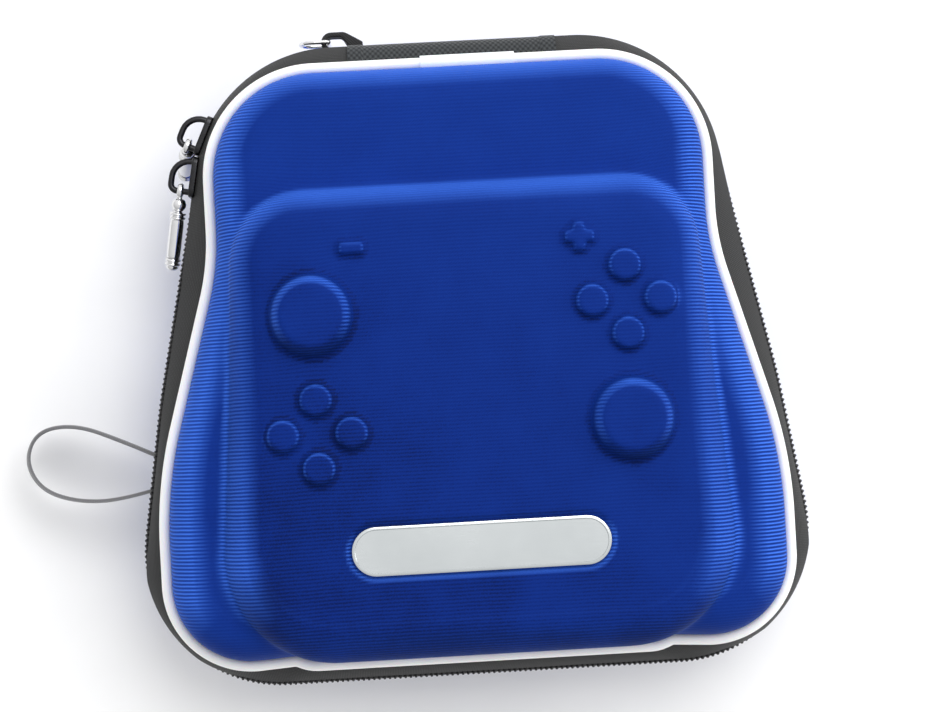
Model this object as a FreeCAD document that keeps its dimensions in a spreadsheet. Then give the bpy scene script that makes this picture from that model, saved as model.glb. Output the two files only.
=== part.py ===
# Controller carrying case: a zipped moulded case lying on its back with the lid up.
# Millimetres. Z is up, the origin is the middle of the flat back, +Y points at the hinge.
import FreeCAD
import Part
import math
import os

Vector = FreeCAD.Vector
Z_AXIS = Vector(0, 0, 1)
# Left straight between two arcs that would otherwise meet
HAIR = 0.02
# Flat sides of a bead or wire, of a button or a pull, and of a stick
WIRE_SIDES = 6
TURNED_SIDES = 12
STICK_SIDES = 24
# Flat steps in a rounded shoulder, and how far a flat side may cut into a rounded corner
SHOULDER_STEPS = 3
CORNER_CUT = 0.05

doc = FreeCAD.newDocument("controller_case")
sheet = doc.addObject("Spreadsheet::Sheet", "sizes")

SIZES = [
    # Zip line: a trapezoid with rounded corners, measured to its corner points
    ("case_half_length", 76.5, "middle of the case to its top and bottom zip edges"),
    ("top_half_width", 57.7, "corner point of the zip line at the hinge end"),
    ("bottom_half_width", 86.0, "corner point of the zip line at the grip end"),
    ("top_corner_radius", 34.7, "zip line corner at the hinge end"),
    ("bottom_corner_radius", 28.6, "zip line corner at the grip end"),
    # Heights
    ("base_depth", 30.0, "back face to the zip plane"),
    ("rim_rise", 6.5, "zip plane to the edge of either shell"),
    ("tray_height", 24.0, "zip plane to the lower face of the lid"),
    ("bulge_height", 9.0, "lower face of the lid to the raised form"),
    # Shells
    ("wall", 4.0, "foam wall of both shells"),
    ("lid_draft_angle", 4.0, "lean of the lid wall in degrees"),
    ("bulge_draft_angle", 3.0, "lean of the raised form's wall in degrees"),
    ("base_draft_angle", 5.0, "lean of the base wall in degrees"),
    ("lid_shoulder", 8.0, "rounding of the lid's upper edge"),
    ("bulge_shoulder", 5.5, "rounding of the raised form's upper edge"),
    ("base_shoulder", 10.0, "rounding of the back's edge"),
    ("base_inset", 4.5, "zip line in to the base wall"),
    # Lid outline at its rim
    ("rim_top_inset", 7.3, "zip line in to the lid wall at the hinge end"),
    ("rim_bottom_inset", 5.9, "zip line in to the lobes at the grip end"),
    ("rim_top_radius", 24.5, "lid corner at the hinge end"),
    ("waist_share", 0.32, "row of the waist as a share of the half length"),
    ("waist_inset", 8.7, "zip side in to the lid wall at the waist"),
    ("waist_bend_share", 0.11, "reach of the waist's hollow curve as a share of the half length"),
    ("flare_share", -0.366, "row where the flare turns into the lobe, as a share of the half length"),
    ("flare_bend_share", 0.185, "reach of the flare's curve as a share of the half length"),
    ("lobe_inset", 3.45, "zip side in to the widest part of the lobe"),
    ("lobe_radius", 18.5, "round of the lobe"),
    ("heel_rise", 4.6, "rise of the lid's lower edge from lobe to middle"),
    ("heel_radius", 150.0, "hollow curve of that edge"),
    # Raised controller form, measured at the rim
    ("bulge_top_share", 0.527, "row of its upper edge as a share of the half length"),
    ("bulge_side_inset", 3.6, "lid side in to its upper corner"),
    ("bulge_lower_inset", 2.6, "lid side in to its lower corner"),
    ("bulge_bottom_inset", 6.3, "zip line in to its lower edge"),
    ("bulge_corner_radius", 18.0, "its corners"),
    # Embossed controls
    ("control_column_share", 0.662, "sticks and buttons as a share of the raised form's half width"),
    ("upper_row_share", 0.137, "row of the left stick and right buttons as a share of the half length"),
    ("lower_row_share", -0.222, "row of the right stick and left buttons as a share of the half length"),
    ("stick_base_radius", 9.95, "stick dome at its foot"),
    ("stick_top_radius", 7.9, "stick dome at its flat top"),
    ("stick_height", 5.0, "stick dome height"),
    ("stick_edge", 1.8, "rounding of the stick's edge"),
    ("button_radius", 3.9, "round button at its foot"),
    ("button_top_radius", 3.2, "round button at its top"),
    ("button_spacing", 7.9, "cluster centre to each button"),
    ("button_height", 1.7, "round button height"),
    ("button_edge", 0.8, "rounding of the button's edge"),
    ("sign_column_share", 0.478, "minus and plus as a share of the raised form's half width"),
    ("sign_row_share", 0.333, "row of the minus and the plus as a share of the half length"),
    ("sign_height", 1.4, "height of the minus and the plus"),
    ("minus_length", 5.6, "length of the minus"),
    ("plus_length", 6.8, "length of the plus"),
    ("sign_width", 2.6, "width of their bars"),
    # Name plate
    ("plate_length", 60.0, "name plate, end to end"),
    ("plate_width", 11.5, "name plate width"),
    ("plate_thickness", 1.4, "name plate thickness"),
    ("plate_bevel", 0.5, "bevel of its upper edge"),
    ("plate_row_share", -0.582, "row of the name plate as a share of the half length"),
    ("plate_sink", 0.6, "depth of the recess that it is glued in"),
    ("plate_gap", 0.4, "room round the plate in its recess"),
    # Piping
    ("piping_radius", 1.4, "bead sewn in the seam"),
    ("sleeve_radius", 1.85, "joining sleeve on the bead"),
    ("sleeve_length", 22.7, "joining sleeve length"),
    ("sleeve_place", 3.5, "joining sleeve's middle along the hinge edge"),
    ("notch_round", 4.0, "piping bend in the notch beside the raised form"),
    ("heel_round", 8.0, "piping bend at the raised form's lower corner"),
    # Zip
    ("tape_thickness", 0.8, "woven zip tape"),
    ("tape_tuck", 0.4, "tape edge under the piping"),
    ("coil_width", 2.2, "coil row across the tape"),
    ("coil_height", 1.45, "coil row along the tape"),
    ("row_gap", 0.45, "zip plane to either coil row"),
    ("zip_fit", 0.15, "room between coil and tape"),
    # Hinge panel
    ("panel_length", 49.4, "hinge panel along the hinge edge"),
    ("panel_thickness", 1.2, "hinge panel cloth"),
    ("panel_crown", 0.5, "hinge panel beyond the zip line"),
    ("panel_gap", 0.3, "zip end to hinge panel end"),
    ("panel_seam", 0.3, "rim to hinge panel edge"),
    # Sliders, measured on the zip track
    ("slider_length", 9.6, "along the zip"),
    ("slider_width", 8.0, "across the zip"),
    ("slider_plate", 1.2, "thickness of the outer plate"),
    ("slider_gap", 0.3, "coil to the outer plate"),
    ("slider_depth", 5.5, "zip line in to the inner plate"),
    ("slider_inner_width", 4.0, "inner plate across the zip"),
    ("slider_inner_length", 8.2, "inner plate along the zip"),
    ("slider_corner", 1.3, "round of the plates' corners"),
    ("slider_post", 0.6, "post between the two coil rows"),
    ("post_length", 3.4, "post along the zip"),
    ("post_place", 2.3, "slider's middle to the post's middle"),
    ("bail_wire", 1.3, "bail thickness"),
    ("bail_reach", 6.4, "zip line out to the bail's wire"),
    ("bail_leg", 3.6, "slider's middle to the straight leg that holds the pull"),
    ("bail_foot", 3.9, "slider's middle to the bail's other foot"),
    ("bail_bend", 1.6, "bend at the straight leg"),
    ("bail_arch", 4.2, "long bend at the other foot"),
    ("upper_slider_reach", 8.48, "start of the hinge-end corner along the zip to the upper slider"),
    ("slider_spare", 0.52, "room on the track between the two sliders"),
    # Pulls
    ("pull_eye_radius", 2.0, "outside of the eye"),
    ("pull_eye_bore", 2.0, "bore of the eye"),
    ("pull_eye_width", 1.4, "eye along the bail"),
    ("pull_eye_place", 3.9, "zip line out to the eye"),
    ("pull_ball_place", 3.4, "eye to the ball"),
    ("pull_ball_radius", 1.8, "ball under the eye"),
    ("pull_ridge_radius", 2.0, "turned ridges"),
    ("pull_ridge_width", 0.7, "width of each ridge"),
    ("pull_groove_width", 0.3, "groove between ridges"),
    ("pull_groove_depth", 0.45, "depth of that groove"),
    ("pull_tip", 1.1, "rounded end of the pull"),
    ("pull_barrel_radius", 1.75, "barrel"),
    ("pull_barrel_length", 9.5, "barrel between its ridges"),
    ("lower_pull_angle", 12.0, "lower pull below the track in degrees"),
    ("upper_pull_angle", 72.0, "upper pull below the track in degrees"),
    # Ring tab and ring
    ("tab_width", 4.8, "webbing of the ring tab"),
    ("tab_thickness", 1.2, "webbing thickness"),
    ("tab_drop", 5.8, "zip plane down to the middle of the tab"),
    ("tab_reach", 7.0, "hinge panel end to the fold of the tab"),
    ("tab_lap", 3.2, "tab sewn on the hinge panel"),
    ("tab_rise", 5.0, "height of the tab's loop"),
    ("ring_wire", 1.0, "ring wire"),
    ("ring_half_width", 3.5, "ring half width along its bar"),
    ("ring_reach", 7.0, "ring bar to bow"),
    # Ribbon loop
    ("ribbon_width", 9.0, "ribbon loop width"),
    ("ribbon_thickness", 0.8, "ribbon loop thickness"),
    # Inside
    ("binding_thickness", 0.8, "binding tape inside each seam"),
    ("binding_width", 6.0, "binding tape width"),
    ("binding_gap", 0.3, "binding tape to the wall that it is sewn to"),
    ("seat", 0.1, "glue line between parts of one half"),
    ("pocket_rise", 14.0, "zip plane to the mesh pocket"),
    ("pocket_edge", 25.0, "middle of the case to the pocket's free edge"),
    ("pocket_thickness", 0.8, "pocket mesh"),
    ("hem_width", 6.0, "elastic hem of the pocket"),
    ("hem_thickness", 2.0, "elastic hem thickness"),
    ("strap_width", 25.0, "elastic strap across the base"),
    ("strap_thickness", 1.2, "elastic strap thickness"),
    ("strap_place", -10.0, "row of the strap"),
    ("strap_drop", 11.5, "zip plane down to the strap"),
]

for row, (alias, value, note) in enumerate(SIZES, start=1):
    sheet.set("A%d" % row, note)
    sheet.set("B%d" % row, str(value))
    sheet.setAlias("B%d" % row, alias)
doc.recompute()


def size(alias):
    """Value of one sheet cell."""
    return float(sheet.get(alias))


def lean(alias, height):
    """How far a wall with that draft moves in over a height."""
    return height * math.tan(math.radians(size(alias)))


ZIP_PLANE = size("base_depth")
LID_RIM = ZIP_PLANE + size("rim_rise")
BASE_RIM = ZIP_PLANE - size("rim_rise")
TRAY_TOP = ZIP_PLANE + size("tray_height")
BULGE_TOP = TRAY_TOP + size("bulge_height")
SIDE_LEAN = (size("bottom_half_width") - size("top_half_width")) / (2 * size("case_half_length"))
SIDE_ANGLE = math.atan(SIDE_LEAN)


# Outlines

def side_half_width(y):
    """Half width of the zip line's straight side, or its extension, at a height y."""
    return size("top_half_width") + SIDE_LEAN * (size("case_half_length") - y)


def row(alias):
    """Height on the plan of a row given as a share of the half length."""
    return size(alias) * size("case_half_length")


def mirrored(half, middle=()):
    """Clockwise corner list from its right half, listed from the top down."""
    return list(half) + list(middle) + [(-x, y, r) for x, y, r in reversed(half)]


def unit(start, end):
    step = Vector(end[0] - start[0], end[1] - start[1], 0)
    return step.normalize()


def corner_arcs(corners, inset, height):
    """Arc at each of the clockwise corners (x, y, radius) moved in by inset, and its number of flat sides."""
    count = len(corners)
    arcs = []
    for i in range(count):
        x, y, radius = corners[i]
        into = unit(corners[i - 1], corners[i])
        out = unit(corners[i], corners[(i + 1) % count])
        turn = math.atan2(into.x * out.y - into.y * out.x, into.dot(out))
        inward_in = Vector(into.y, -into.x, 0)
        inward_out = Vector(out.y, -out.x, 0)
        corner = Vector(x, y, height) + (inward_in + inward_out) * (inset / (1 + inward_in.dot(inward_out)))
        convex = turn < 0
        bend = radius - inset if convex else radius + inset
        reach = bend * math.tan(abs(turn) / 2)
        start = corner - into * reach
        end = corner + out * reach
        centre = start + inward_in * (bend if convex else -bend)
        middle = centre + (corner - centre).normalize() * bend
        sides = abs(turn) / (2 * math.acos(1 - CORNER_CUT / radius))
        arcs.append((Part.Arc(start, middle, end), max(1, round(sides))))
    return arcs


def outline(corners, inset=0.0, height=0.0):
    """Wire of lines and tangent arcs."""
    edges = []
    arcs = [arc for arc, _ in corner_arcs(corners, inset, height)]
    for before, arc in zip(arcs[-1:] + arcs, arcs):
        edges.append(Part.LineSegment(before.EndPoint, arc.StartPoint).toShape())
        edges.append(arc.toShape())
    return Part.Wire(edges)


def flat_points(corners, inset=0.0, height=0.0):
    """Corner points of the same outline with short flat sides in its bends."""
    points = []
    for arc, sides in corner_arcs(corners, inset, height):
        points += arc.discretize(sides + 1)
    return points


def zip_corners():
    length = size("case_half_length")
    return mirrored([
        (size("top_half_width"), length, size("top_corner_radius")),
        (size("bottom_half_width"), -length, size("bottom_corner_radius")),
    ])


RIM_TOP = size("case_half_length") - size("rim_top_inset")
LOBE_BOTTOM = -size("case_half_length") + size("rim_bottom_inset")
HEEL_BOTTOM = LOBE_BOTTOM + size("heel_rise")
WAIST_ROW = row("waist_share")
FLARE_ROW = row("flare_share")
UPPER_HALF = side_half_width(WAIST_ROW) - size("waist_inset")
LOBE_HALF = side_half_width(FLARE_ROW) - size("lobe_inset")
FLARE_TURN = math.atan2(LOBE_HALF - UPPER_HALF, WAIST_ROW - FLARE_ROW)
BULGE_HALF = UPPER_HALF - size("bulge_side_inset")
BULGE_LOWER_HALF = UPPER_HALF - size("bulge_lower_inset")
BULGE_BOTTOM = -size("case_half_length") + size("bulge_bottom_inset")


def rim_sides():
    """Right half of the lid wall at its rim, from the hinge end down to the lobe."""
    bend = math.tan(FLARE_TURN / 2)
    return [
        (UPPER_HALF, RIM_TOP, size("rim_top_radius")),
        (UPPER_HALF, WAIST_ROW, row("waist_bend_share") / bend),
        (LOBE_HALF, FLARE_ROW, row("flare_bend_share") / bend),
        (LOBE_HALF, LOBE_BOTTOM, size("lobe_radius")),
    ]


def tray_corners():
    return mirrored(rim_sides(), [(0.0, HEEL_BOTTOM, size("heel_radius"))])


def bulge_corners():
    return mirrored([
        (BULGE_HALF, row("bulge_top_share"), size("bulge_corner_radius")),
        (BULGE_LOWER_HALF, BULGE_BOTTOM, size("bulge_corner_radius")),
    ])


def heel_notch():
    """Where the raised form's lower corner meets the lid's lower edge, and the slope there."""
    radius = size("bulge_corner_radius")
    centre_x = BULGE_LOWER_HALF - radius
    centre_y = BULGE_BOTTOM + radius
    fall = size("heel_rise") / LOBE_HALF
    # Line y = HEEL_BOTTOM - fall * x against the corner's circle
    drop = HEEL_BOTTOM - centre_y
    a = 1 + fall ** 2
    b = -centre_x - fall * drop
    c = centre_x ** 2 + drop ** 2 - radius ** 2
    x = (-b + math.sqrt(b ** 2 - a * c)) / a
    y = HEEL_BOTTOM - fall * x
    return x, y, math.asin((x - centre_x) / radius)


def rim_corners():
    """Lid wall at its rim as one outline, with the notch on each side of the raised form."""
    x, y, slope = heel_notch()
    heel_x = x - (y - BULGE_BOTTOM) / math.tan(slope)
    return mirrored(rim_sides() + [
        (x, y, size("notch_round")),
        (heel_x, BULGE_BOTTOM, size("heel_round")),
    ])


# Solids that several sub-parts share

def moulding(corners, bottom, top, draft, shoulder, inset=0.0, steps=SHOULDER_STEPS):
    """Drafted block with its upper edge rounded in flat steps."""
    slope = math.radians(size(draft))
    centre = top - shoulder
    centre_inset = inset + lean(draft, centre - bottom) + shoulder / math.cos(slope)
    levels = [(inset, bottom)]
    for i in range(steps + 1):
        angle = slope + (math.pi / 2 - slope) * i / steps
        levels.append((centre_inset - shoulder * math.cos(angle), centre + shoulder * math.sin(angle)))
    return stacked([flat_points(corners, level, height) for level, height in levels])


def hollow(corners, bottom, top, draft, shoulder, inset=0.0):
    """Room inside a moulding, one wall away from it and with a flat bevel in its corner."""
    wall = size("wall")
    return moulding(corners, bottom, top - wall, draft, shoulder - wall, inset + wall, 1)


def ring_band(corners, outer, inner, bottom, height):
    """Upright band between two insets of an outline."""
    around, within = [polygon_face(flat_points(corners, inset, bottom)) for inset in (outer, inner)]
    return around.cut(within).extrude(Z_AXIS * height)


def polygon_face(corners):
    return Part.Face(Part.makePolygon(corners + corners[:1]))


def closed_solid(faces):
    """Solid inside a set of faces that meet edge to edge."""
    skin = Part.makeShell(faces)
    skin.sewShape()
    solid = Part.makeSolid(skin)
    if solid.Volume < 0:
        solid.reverse()
    return solid


def stacked(rings, endless=False):
    """Flat-sided solid through rings of as many points each, capped unless it runs back into itself."""
    faces = [] if endless else [polygon_face(rings[0]), polygon_face(rings[-1])]
    following = rings[1:] + rings[:1] if endless else rings[1:]
    for low, high in zip(rings, following):
        faces += [polygon_face([low[i - 1], low[i], high[i], high[i - 1]]) for i in range(len(low))]
    return closed_solid(faces)


def turned(profile, sides):
    """Flat-sided solid about the Z axis from (radius, height) rings."""
    angles = [2 * math.pi * (i + 0.5) / sides for i in range(sides)]
    return stacked([[Vector(r * math.cos(a), r * math.sin(a), z) for a in angles] for r, z in profile])


def rod(points, radius, endless=True):
    """Flat-sided wire along level points, mitred at each bend."""
    runs = [unit(start, end) for start, end in zip(points, points[1:] + points[:1])]
    angles = [math.pi / WIRE_SIDES * (2 * i + 1) for i in range(WIRE_SIDES)]
    rings = []
    for i, point in enumerate(points):
        before = runs[i - 1] if endless or i else runs[0]
        after = runs[i] if endless or i < len(points) - 1 else before
        across = (before + after).cross(Z_AXIS) / (1 + before.dot(after))
        rings.append([point + (across * math.cos(a) + Z_AXIS * math.sin(a)) * radius for a in angles])
    return stacked(rings, endless)


def upright_box(x_low, x_high, y_low, y_high, z_low, z_high):
    return Part.makeBox(x_high - x_low, y_high - y_low, z_high - z_low, Vector(x_low, y_low, z_low))


def add(label, shape, placement=None):
    """Put one sub-part into the document."""
    part = doc.addObject("Part::Feature", label)
    part.Label = label
    part.Shape = shape
    part.Placement = placement or FreeCAD.Placement()
    return part


def axis_plane(body, role):
    return [f for f in body.Origin.OriginFeatures if f.Role == role][0]


def flat_edge(edge):
    """Sketch line or arc on the plan of an outline's edge."""
    ends = [Vector(v.Point.x, v.Point.y, 0) for v in (edge.firstVertex(), edge.lastVertex())]
    if isinstance(edge.Curve, Part.Line):
        return Part.LineSegment(*ends)
    centre = Vector(edge.Curve.Center.x, edge.Curve.Center.y, 0)
    if edge.Curve.Axis.z < 0:
        ends.reverse()
    start, end = [math.atan2(p.y - centre.y, p.x - centre.x) for p in ends]
    if end < start:
        end += 2 * math.pi
    return Part.ArcOfCircle(Part.Circle(centre, Z_AXIS, edge.Curve.Radius), start, end)


def padded(label, wires, bottom, height_alias):
    """Body padded up from outlines at a height; its pad follows one sheet cell."""
    body = doc.addObject("PartDesign::Body", label)
    body.Label = label
    sketch = body.newObject("Sketcher::SketchObject", label + "_outline")
    sketch.AttachmentSupport = [(axis_plane(body, "XY_Plane"), "")]
    sketch.MapMode = "FlatFace"
    sketch.AttachmentOffset = FreeCAD.Placement(Vector(0, 0, bottom), FreeCAD.Rotation())
    for wire in wires:
        for edge in wire.Edges:
            sketch.addGeometry(flat_edge(edge), False)
    pad = body.newObject("PartDesign::Pad", label + "_pad")
    pad.Profile = sketch
    pad.setExpression("Length", "sizes." + height_alias)
    sketch.Visibility = False
    return body, pad


# Lid shell: moulded foam with the raised controller form and its controls

def dome(foot, top, height, edge, sides, x, y):
    """Low round form with a softened edge that stands on the raised form."""
    root = size("bulge_height") / 2
    slope = (foot - top) / height
    soft = edge * (1 - math.sqrt(0.5))
    solid = turned([
        (foot + slope * root, -root),
        (top + slope * edge, height - edge),
        (top - soft, height - soft),
        (top - edge, height),
    ], sides)
    solid.translate(Vector(x, y, BULGE_TOP))
    return solid


def stick(x, y):
    return dome(size("stick_base_radius"), size("stick_top_radius"), size("stick_height"),
                size("stick_edge"), STICK_SIDES, x, y)


def button_cluster(x, y):
    spacing = size("button_spacing")
    places = [(spacing, 0), (-spacing, 0), (0, spacing), (0, -spacing)]
    return [dome(size("button_radius"), size("button_top_radius"), size("button_height"),
                 size("button_edge"), TURNED_SIDES, x + dx, y + dy) for dx, dy in places]


def bar(x, y, length, width):
    root = size("bulge_height") / 2
    block = upright_box(x - length / 2, x + length / 2, y - width / 2, y + width / 2,
                        BULGE_TOP - root, BULGE_TOP + size("sign_height"))
    top = [e for e in block.Edges if all(v.Z > BULGE_TOP for v in e.Vertexes)]
    return block.makeChamfer(size("sign_height") / 3, top)


def plate_outline(margin, height):
    """Stadium the size of the name plate plus a margin."""
    half_width = size("plate_width") / 2 + margin
    half_length = size("plate_length") / 2 + margin
    place = row("plate_row_share")
    radius = half_width - HAIR
    corners = [
        (half_length, place + half_width, radius),
        (half_length, place - half_width, radius),
        (-half_length, place - half_width, radius),
        (-half_length, place + half_width, radius),
    ]
    return outline(corners, 0, height)


def lid_shell():
    tray_form = (tray_corners(), LID_RIM, TRAY_TOP, "lid_draft_angle", size("lid_shoulder"))
    raised_form = (bulge_corners(), LID_RIM, BULGE_TOP, "bulge_draft_angle", size("bulge_shoulder"))
    column = size("control_column_share") * BULGE_HALF
    sign = size("sign_column_share") * BULGE_HALF
    upper = row("upper_row_share")
    lower = row("lower_row_share")
    sign_row = row("sign_row_share")
    controls = [stick(-column, upper), stick(column, lower)]
    controls += button_cluster(column, upper)
    controls += button_cluster(-column, lower)
    controls.append(bar(-sign, sign_row, size("minus_length"), size("sign_width")))
    controls.append(bar(sign, sign_row, size("plus_length"), size("sign_width")))
    controls.append(bar(sign, sign_row, size("sign_width"), size("plus_length")))
    form = moulding(*tray_form).multiFuse([moulding(*raised_form)] + controls)
    floor = plate_outline(size("plate_gap"), BULGE_TOP - size("plate_sink"))
    recess = Part.Face(floor).extrude(Z_AXIS * 2 * size("plate_sink"))
    return form.cut([hollow(*tray_form), hollow(*raised_form), recess]).removeSplitter()


def base_shell():
    form = (zip_corners(), 0, BASE_RIM, "base_draft_angle", size("base_shoulder"), size("base_inset"))
    # Moulded rim down, then turned over so that the back lies on the origin plane
    tub = moulding(*form).cut(hollow(*form))
    return tub.mirror(Vector(0, 0, BASE_RIM / 2), Z_AXIS)


add("lid_shell", lid_shell())
add("base_shell", base_shell())


# Piping beads and the sleeve that joins the lid's bead

def piping(corners, inset, height):
    radius = size("piping_radius")
    return rod(flat_points(corners, inset - radius - size("seat"), height), radius)


LID_BEAD = LID_RIM + size("piping_radius")
BASE_BEAD = BASE_RIM - size("piping_radius")
add("lid_piping", piping(rim_corners(), 0, LID_BEAD))
add("base_piping", piping(zip_corners(), size("base_inset"), BASE_BEAD))


def piping_sleeve():
    """Tube over the bead, open where the wall and the tape seam are."""
    length = size("sleeve_length")
    bead_y = RIM_TOP + size("piping_radius") + size("seat")
    along = Vector(1, 0, 0)
    start = Vector(size("sleeve_place") - length / 2, bead_y, LID_BEAD)
    tube = Part.makeCylinder(size("sleeve_radius"), length, start, along)
    tube = tube.cut(Part.makeCylinder(size("piping_radius") + size("seat") / 2, length, start, along))
    far = size("sleeve_radius") + size("seat")
    end = start.x + length
    over = upright_box(start.x, end, RIM_TOP + size("seat"), bead_y + far, LID_BEAD, LID_BEAD + far)
    outside = upright_box(start.x, end, bead_y, bead_y + far, LID_RIM, LID_BEAD + far)
    return tube.common(over.fuse(outside)).removeSplitter()


add("lid_piping_sleeve", piping_sleeve())


# Zip tapes and coil rows, open at the hinge panel

PANEL_HALF = size("panel_length") / 2
ZIP_END = PANEL_HALF + size("panel_gap")
BAND_POINTS = 61
RIM_SAMPLES = 1600


def polar_points(wire, angles):
    """Points of a level wire round the Z axis, at angles measured from -Y."""
    rim = [(math.atan2(p.x, -p.y), math.hypot(p.x, p.y)) for p in wire.discretize(RIM_SAMPLES)]
    rim.sort()
    height = wire.Vertexes[0].Z
    points = []
    place = 0
    for angle in angles:
        while place < len(rim) - 2 and rim[place + 1][0] < angle:
            place += 1
        (low, near), (high, far) = rim[place], rim[place + 1]
        reach = near + (far - near) * (angle - low) / (high - low)
        points.append(Vector(reach * math.sin(angle), -reach * math.cos(angle), height))
    return points


def panel_room():
    """Where the hinge panel takes the zip's place."""
    return upright_box(-ZIP_END, ZIP_END, 0, 2 * size("case_half_length"), 0, 2 * ZIP_PLANE)


def tape(rim, rim_height, side):
    """Tape from under the piping to behind the coil row; side is +1 for the lid, -1 for the base."""
    end_angle = math.atan2(PANEL_HALF / 2, -size("case_half_length"))
    angles = [end_angle * (2 * i / (BAND_POINTS - 1) - 1) for i in range(BAND_POINTS)]
    thickness = size("tape_thickness")
    seam = rim_height - side * size("seat")
    coil_edge = ZIP_PLANE + side * (size("row_gap") + size("zip_fit"))
    behind = size("coil_width") + size("zip_fit")
    corners, inset = rim
    wires = [
        outline(corners, inset - size("tape_tuck") - thickness, seam),
        outline(zip_corners(), behind, coil_edge),
        outline(zip_corners(), behind + thickness, coil_edge),
        outline(corners, inset - size("tape_tuck"), seam),
    ]
    edges = [polar_points(wire, angles) for wire in wires]
    faces = [polygon_face([edge[end] for edge in edges]) for end in (0, -1)]
    for near, far in zip(edges, edges[1:] + edges[:1]):
        for i in range(1, BAND_POINTS):
            faces.append(polygon_face([near[i - 1], near[i], far[i]]))
            faces.append(polygon_face([near[i - 1], far[i], far[i - 1]]))
    return closed_solid(faces).cut(panel_room())


def coil_row(side):
    height = size("coil_height")
    bottom = ZIP_PLANE + size("row_gap") if side > 0 else ZIP_PLANE - size("row_gap") - height
    row = ring_band(zip_corners(), 0, size("coil_width"), bottom, height)
    return row.cut(panel_room())


add("lid_zip_tape", tape((tray_corners(), 0), LID_RIM, 1))
add("base_zip_tape", tape((zip_corners(), size("base_inset")), BASE_RIM, -1))
add("lid_zip_coil", coil_row(1))
add("base_zip_coil", coil_row(-1))


# Hinge panel: a bowed strip of cloth between the two rims

PANEL_RIM = RIM_TOP + size("tape_tuck") + size("tape_thickness")
PANEL_BOW = size("case_half_length") + size("panel_crown") - PANEL_RIM
PANEL_RISE = size("rim_rise") - size("panel_seam")
PANEL_RADIUS = (PANEL_RISE ** 2 + PANEL_BOW ** 2) / (2 * PANEL_BOW)
PANEL_CENTRE = PANEL_RIM + PANEL_BOW - PANEL_RADIUS


def panel_face(drop):
    """Outside of the hinge panel at a drop below the zip plane."""
    return PANEL_CENTRE + math.sqrt(PANEL_RADIUS ** 2 - drop ** 2)


def hinge_panel():
    body = doc.addObject("PartDesign::Body", "hinge_panel")
    body.Label = "hinge_panel"
    sketch = body.newObject("Sketcher::SketchObject", "panel_section")
    sketch.AttachmentSupport = [(axis_plane(body, "YZ_Plane"), "")]
    sketch.MapMode = "FlatFace"
    centre = Vector(PANEL_CENTRE, ZIP_PLANE, 0)
    half_angle = math.atan2(PANEL_RISE, PANEL_RIM - PANEL_CENTRE)
    arcs = []
    for radius in (PANEL_RADIUS, PANEL_RADIUS - size("panel_thickness")):
        arcs.append(Part.ArcOfCircle(Part.Circle(centre, Z_AXIS, radius), -half_angle, half_angle))
    outer, inner = arcs
    sketch.addGeometry(outer, False)
    sketch.addGeometry(inner, False)
    sketch.addGeometry(Part.LineSegment(outer.StartPoint, inner.StartPoint), False)
    sketch.addGeometry(Part.LineSegment(outer.EndPoint, inner.EndPoint), False)
    pad = body.newObject("PartDesign::Pad", "panel_strip")
    pad.Profile = sketch
    pad.Midplane = True
    pad.setExpression("Length", "sizes.panel_length")
    sketch.Visibility = False


hinge_panel()


# Sliders: two plates on a post between the rows, with a bail for the pull

BAIL_POINTS = 7


def slider_plate(length, width, low, high):
    """Plate across the outward axis between two depths, long way down the track."""
    corner = size("slider_corner")
    flat = flat_points([
        (length / 2, width / 2, corner),
        (length / 2, -width / 2, corner),
        (-length / 2, -width / 2, corner),
        (-length / 2, width / 2, corner),
    ])
    solid = polygon_face(flat).extrude(Z_AXIS * (high - low))
    # The outline's x becomes Y, its y becomes Z, and the extrusion runs along X
    stand = FreeCAD.Rotation(Vector(0, 1, 0), Vector(0, 0, 1), Vector(1, 0, 0), "XYZ")
    solid.Placement = FreeCAD.Placement(Vector(low, 0, 0), stand)
    return solid


def bail():
    """Wire arch on the outer plate: a straight leg for the pull and a long bend to the other foot."""
    reach = size("bail_reach")
    plate = size("slider_gap") + size("slider_plate") / 2
    leg = size("bail_leg")
    foot = -size("bail_foot")
    bend = size("bail_bend")
    arch = size("bail_arch")
    quarter = math.sqrt(0.5)
    bend_middle = Vector(reach - bend + bend * quarter, leg - bend + bend * quarter, 0)
    arch_middle = Vector(reach - arch + arch * quarter, foot + arch - arch * quarter, 0)
    near_bend = Part.Arc(Vector(reach - bend, leg, 0), bend_middle, Vector(reach, leg - bend, 0))
    far_bend = Part.Arc(Vector(reach, foot + arch, 0), arch_middle, Vector(reach - arch, foot, 0))
    path = [Vector(plate, leg, 0)]
    path += near_bend.discretize(BAIL_POINTS)
    path += far_bend.discretize(BAIL_POINTS)
    path.append(Vector(plate, foot, 0))
    return rod(path, size("bail_wire") / 2, False)


def slider(post_end):
    """Slider in its own frame: X outward, Y down the track, Z up. post_end is -1 or +1 along Y."""
    thickness = size("slider_plate")
    low = size("slider_gap")
    depth = size("slider_depth")
    outer = slider_plate(size("slider_length"), size("slider_width"), low, low + thickness)
    inner = slider_plate(size("slider_inner_length"), size("slider_inner_width"), -depth - thickness, -depth)
    middle = post_end * size("post_place")
    half = size("post_length") / 2
    post = upright_box(-depth - thickness / 2, low + thickness / 2, middle - half, middle + half,
                       -size("slider_post") / 2, size("slider_post") / 2)
    return outer.multiFuse([inner, post, bail()]).removeSplitter()


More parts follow.
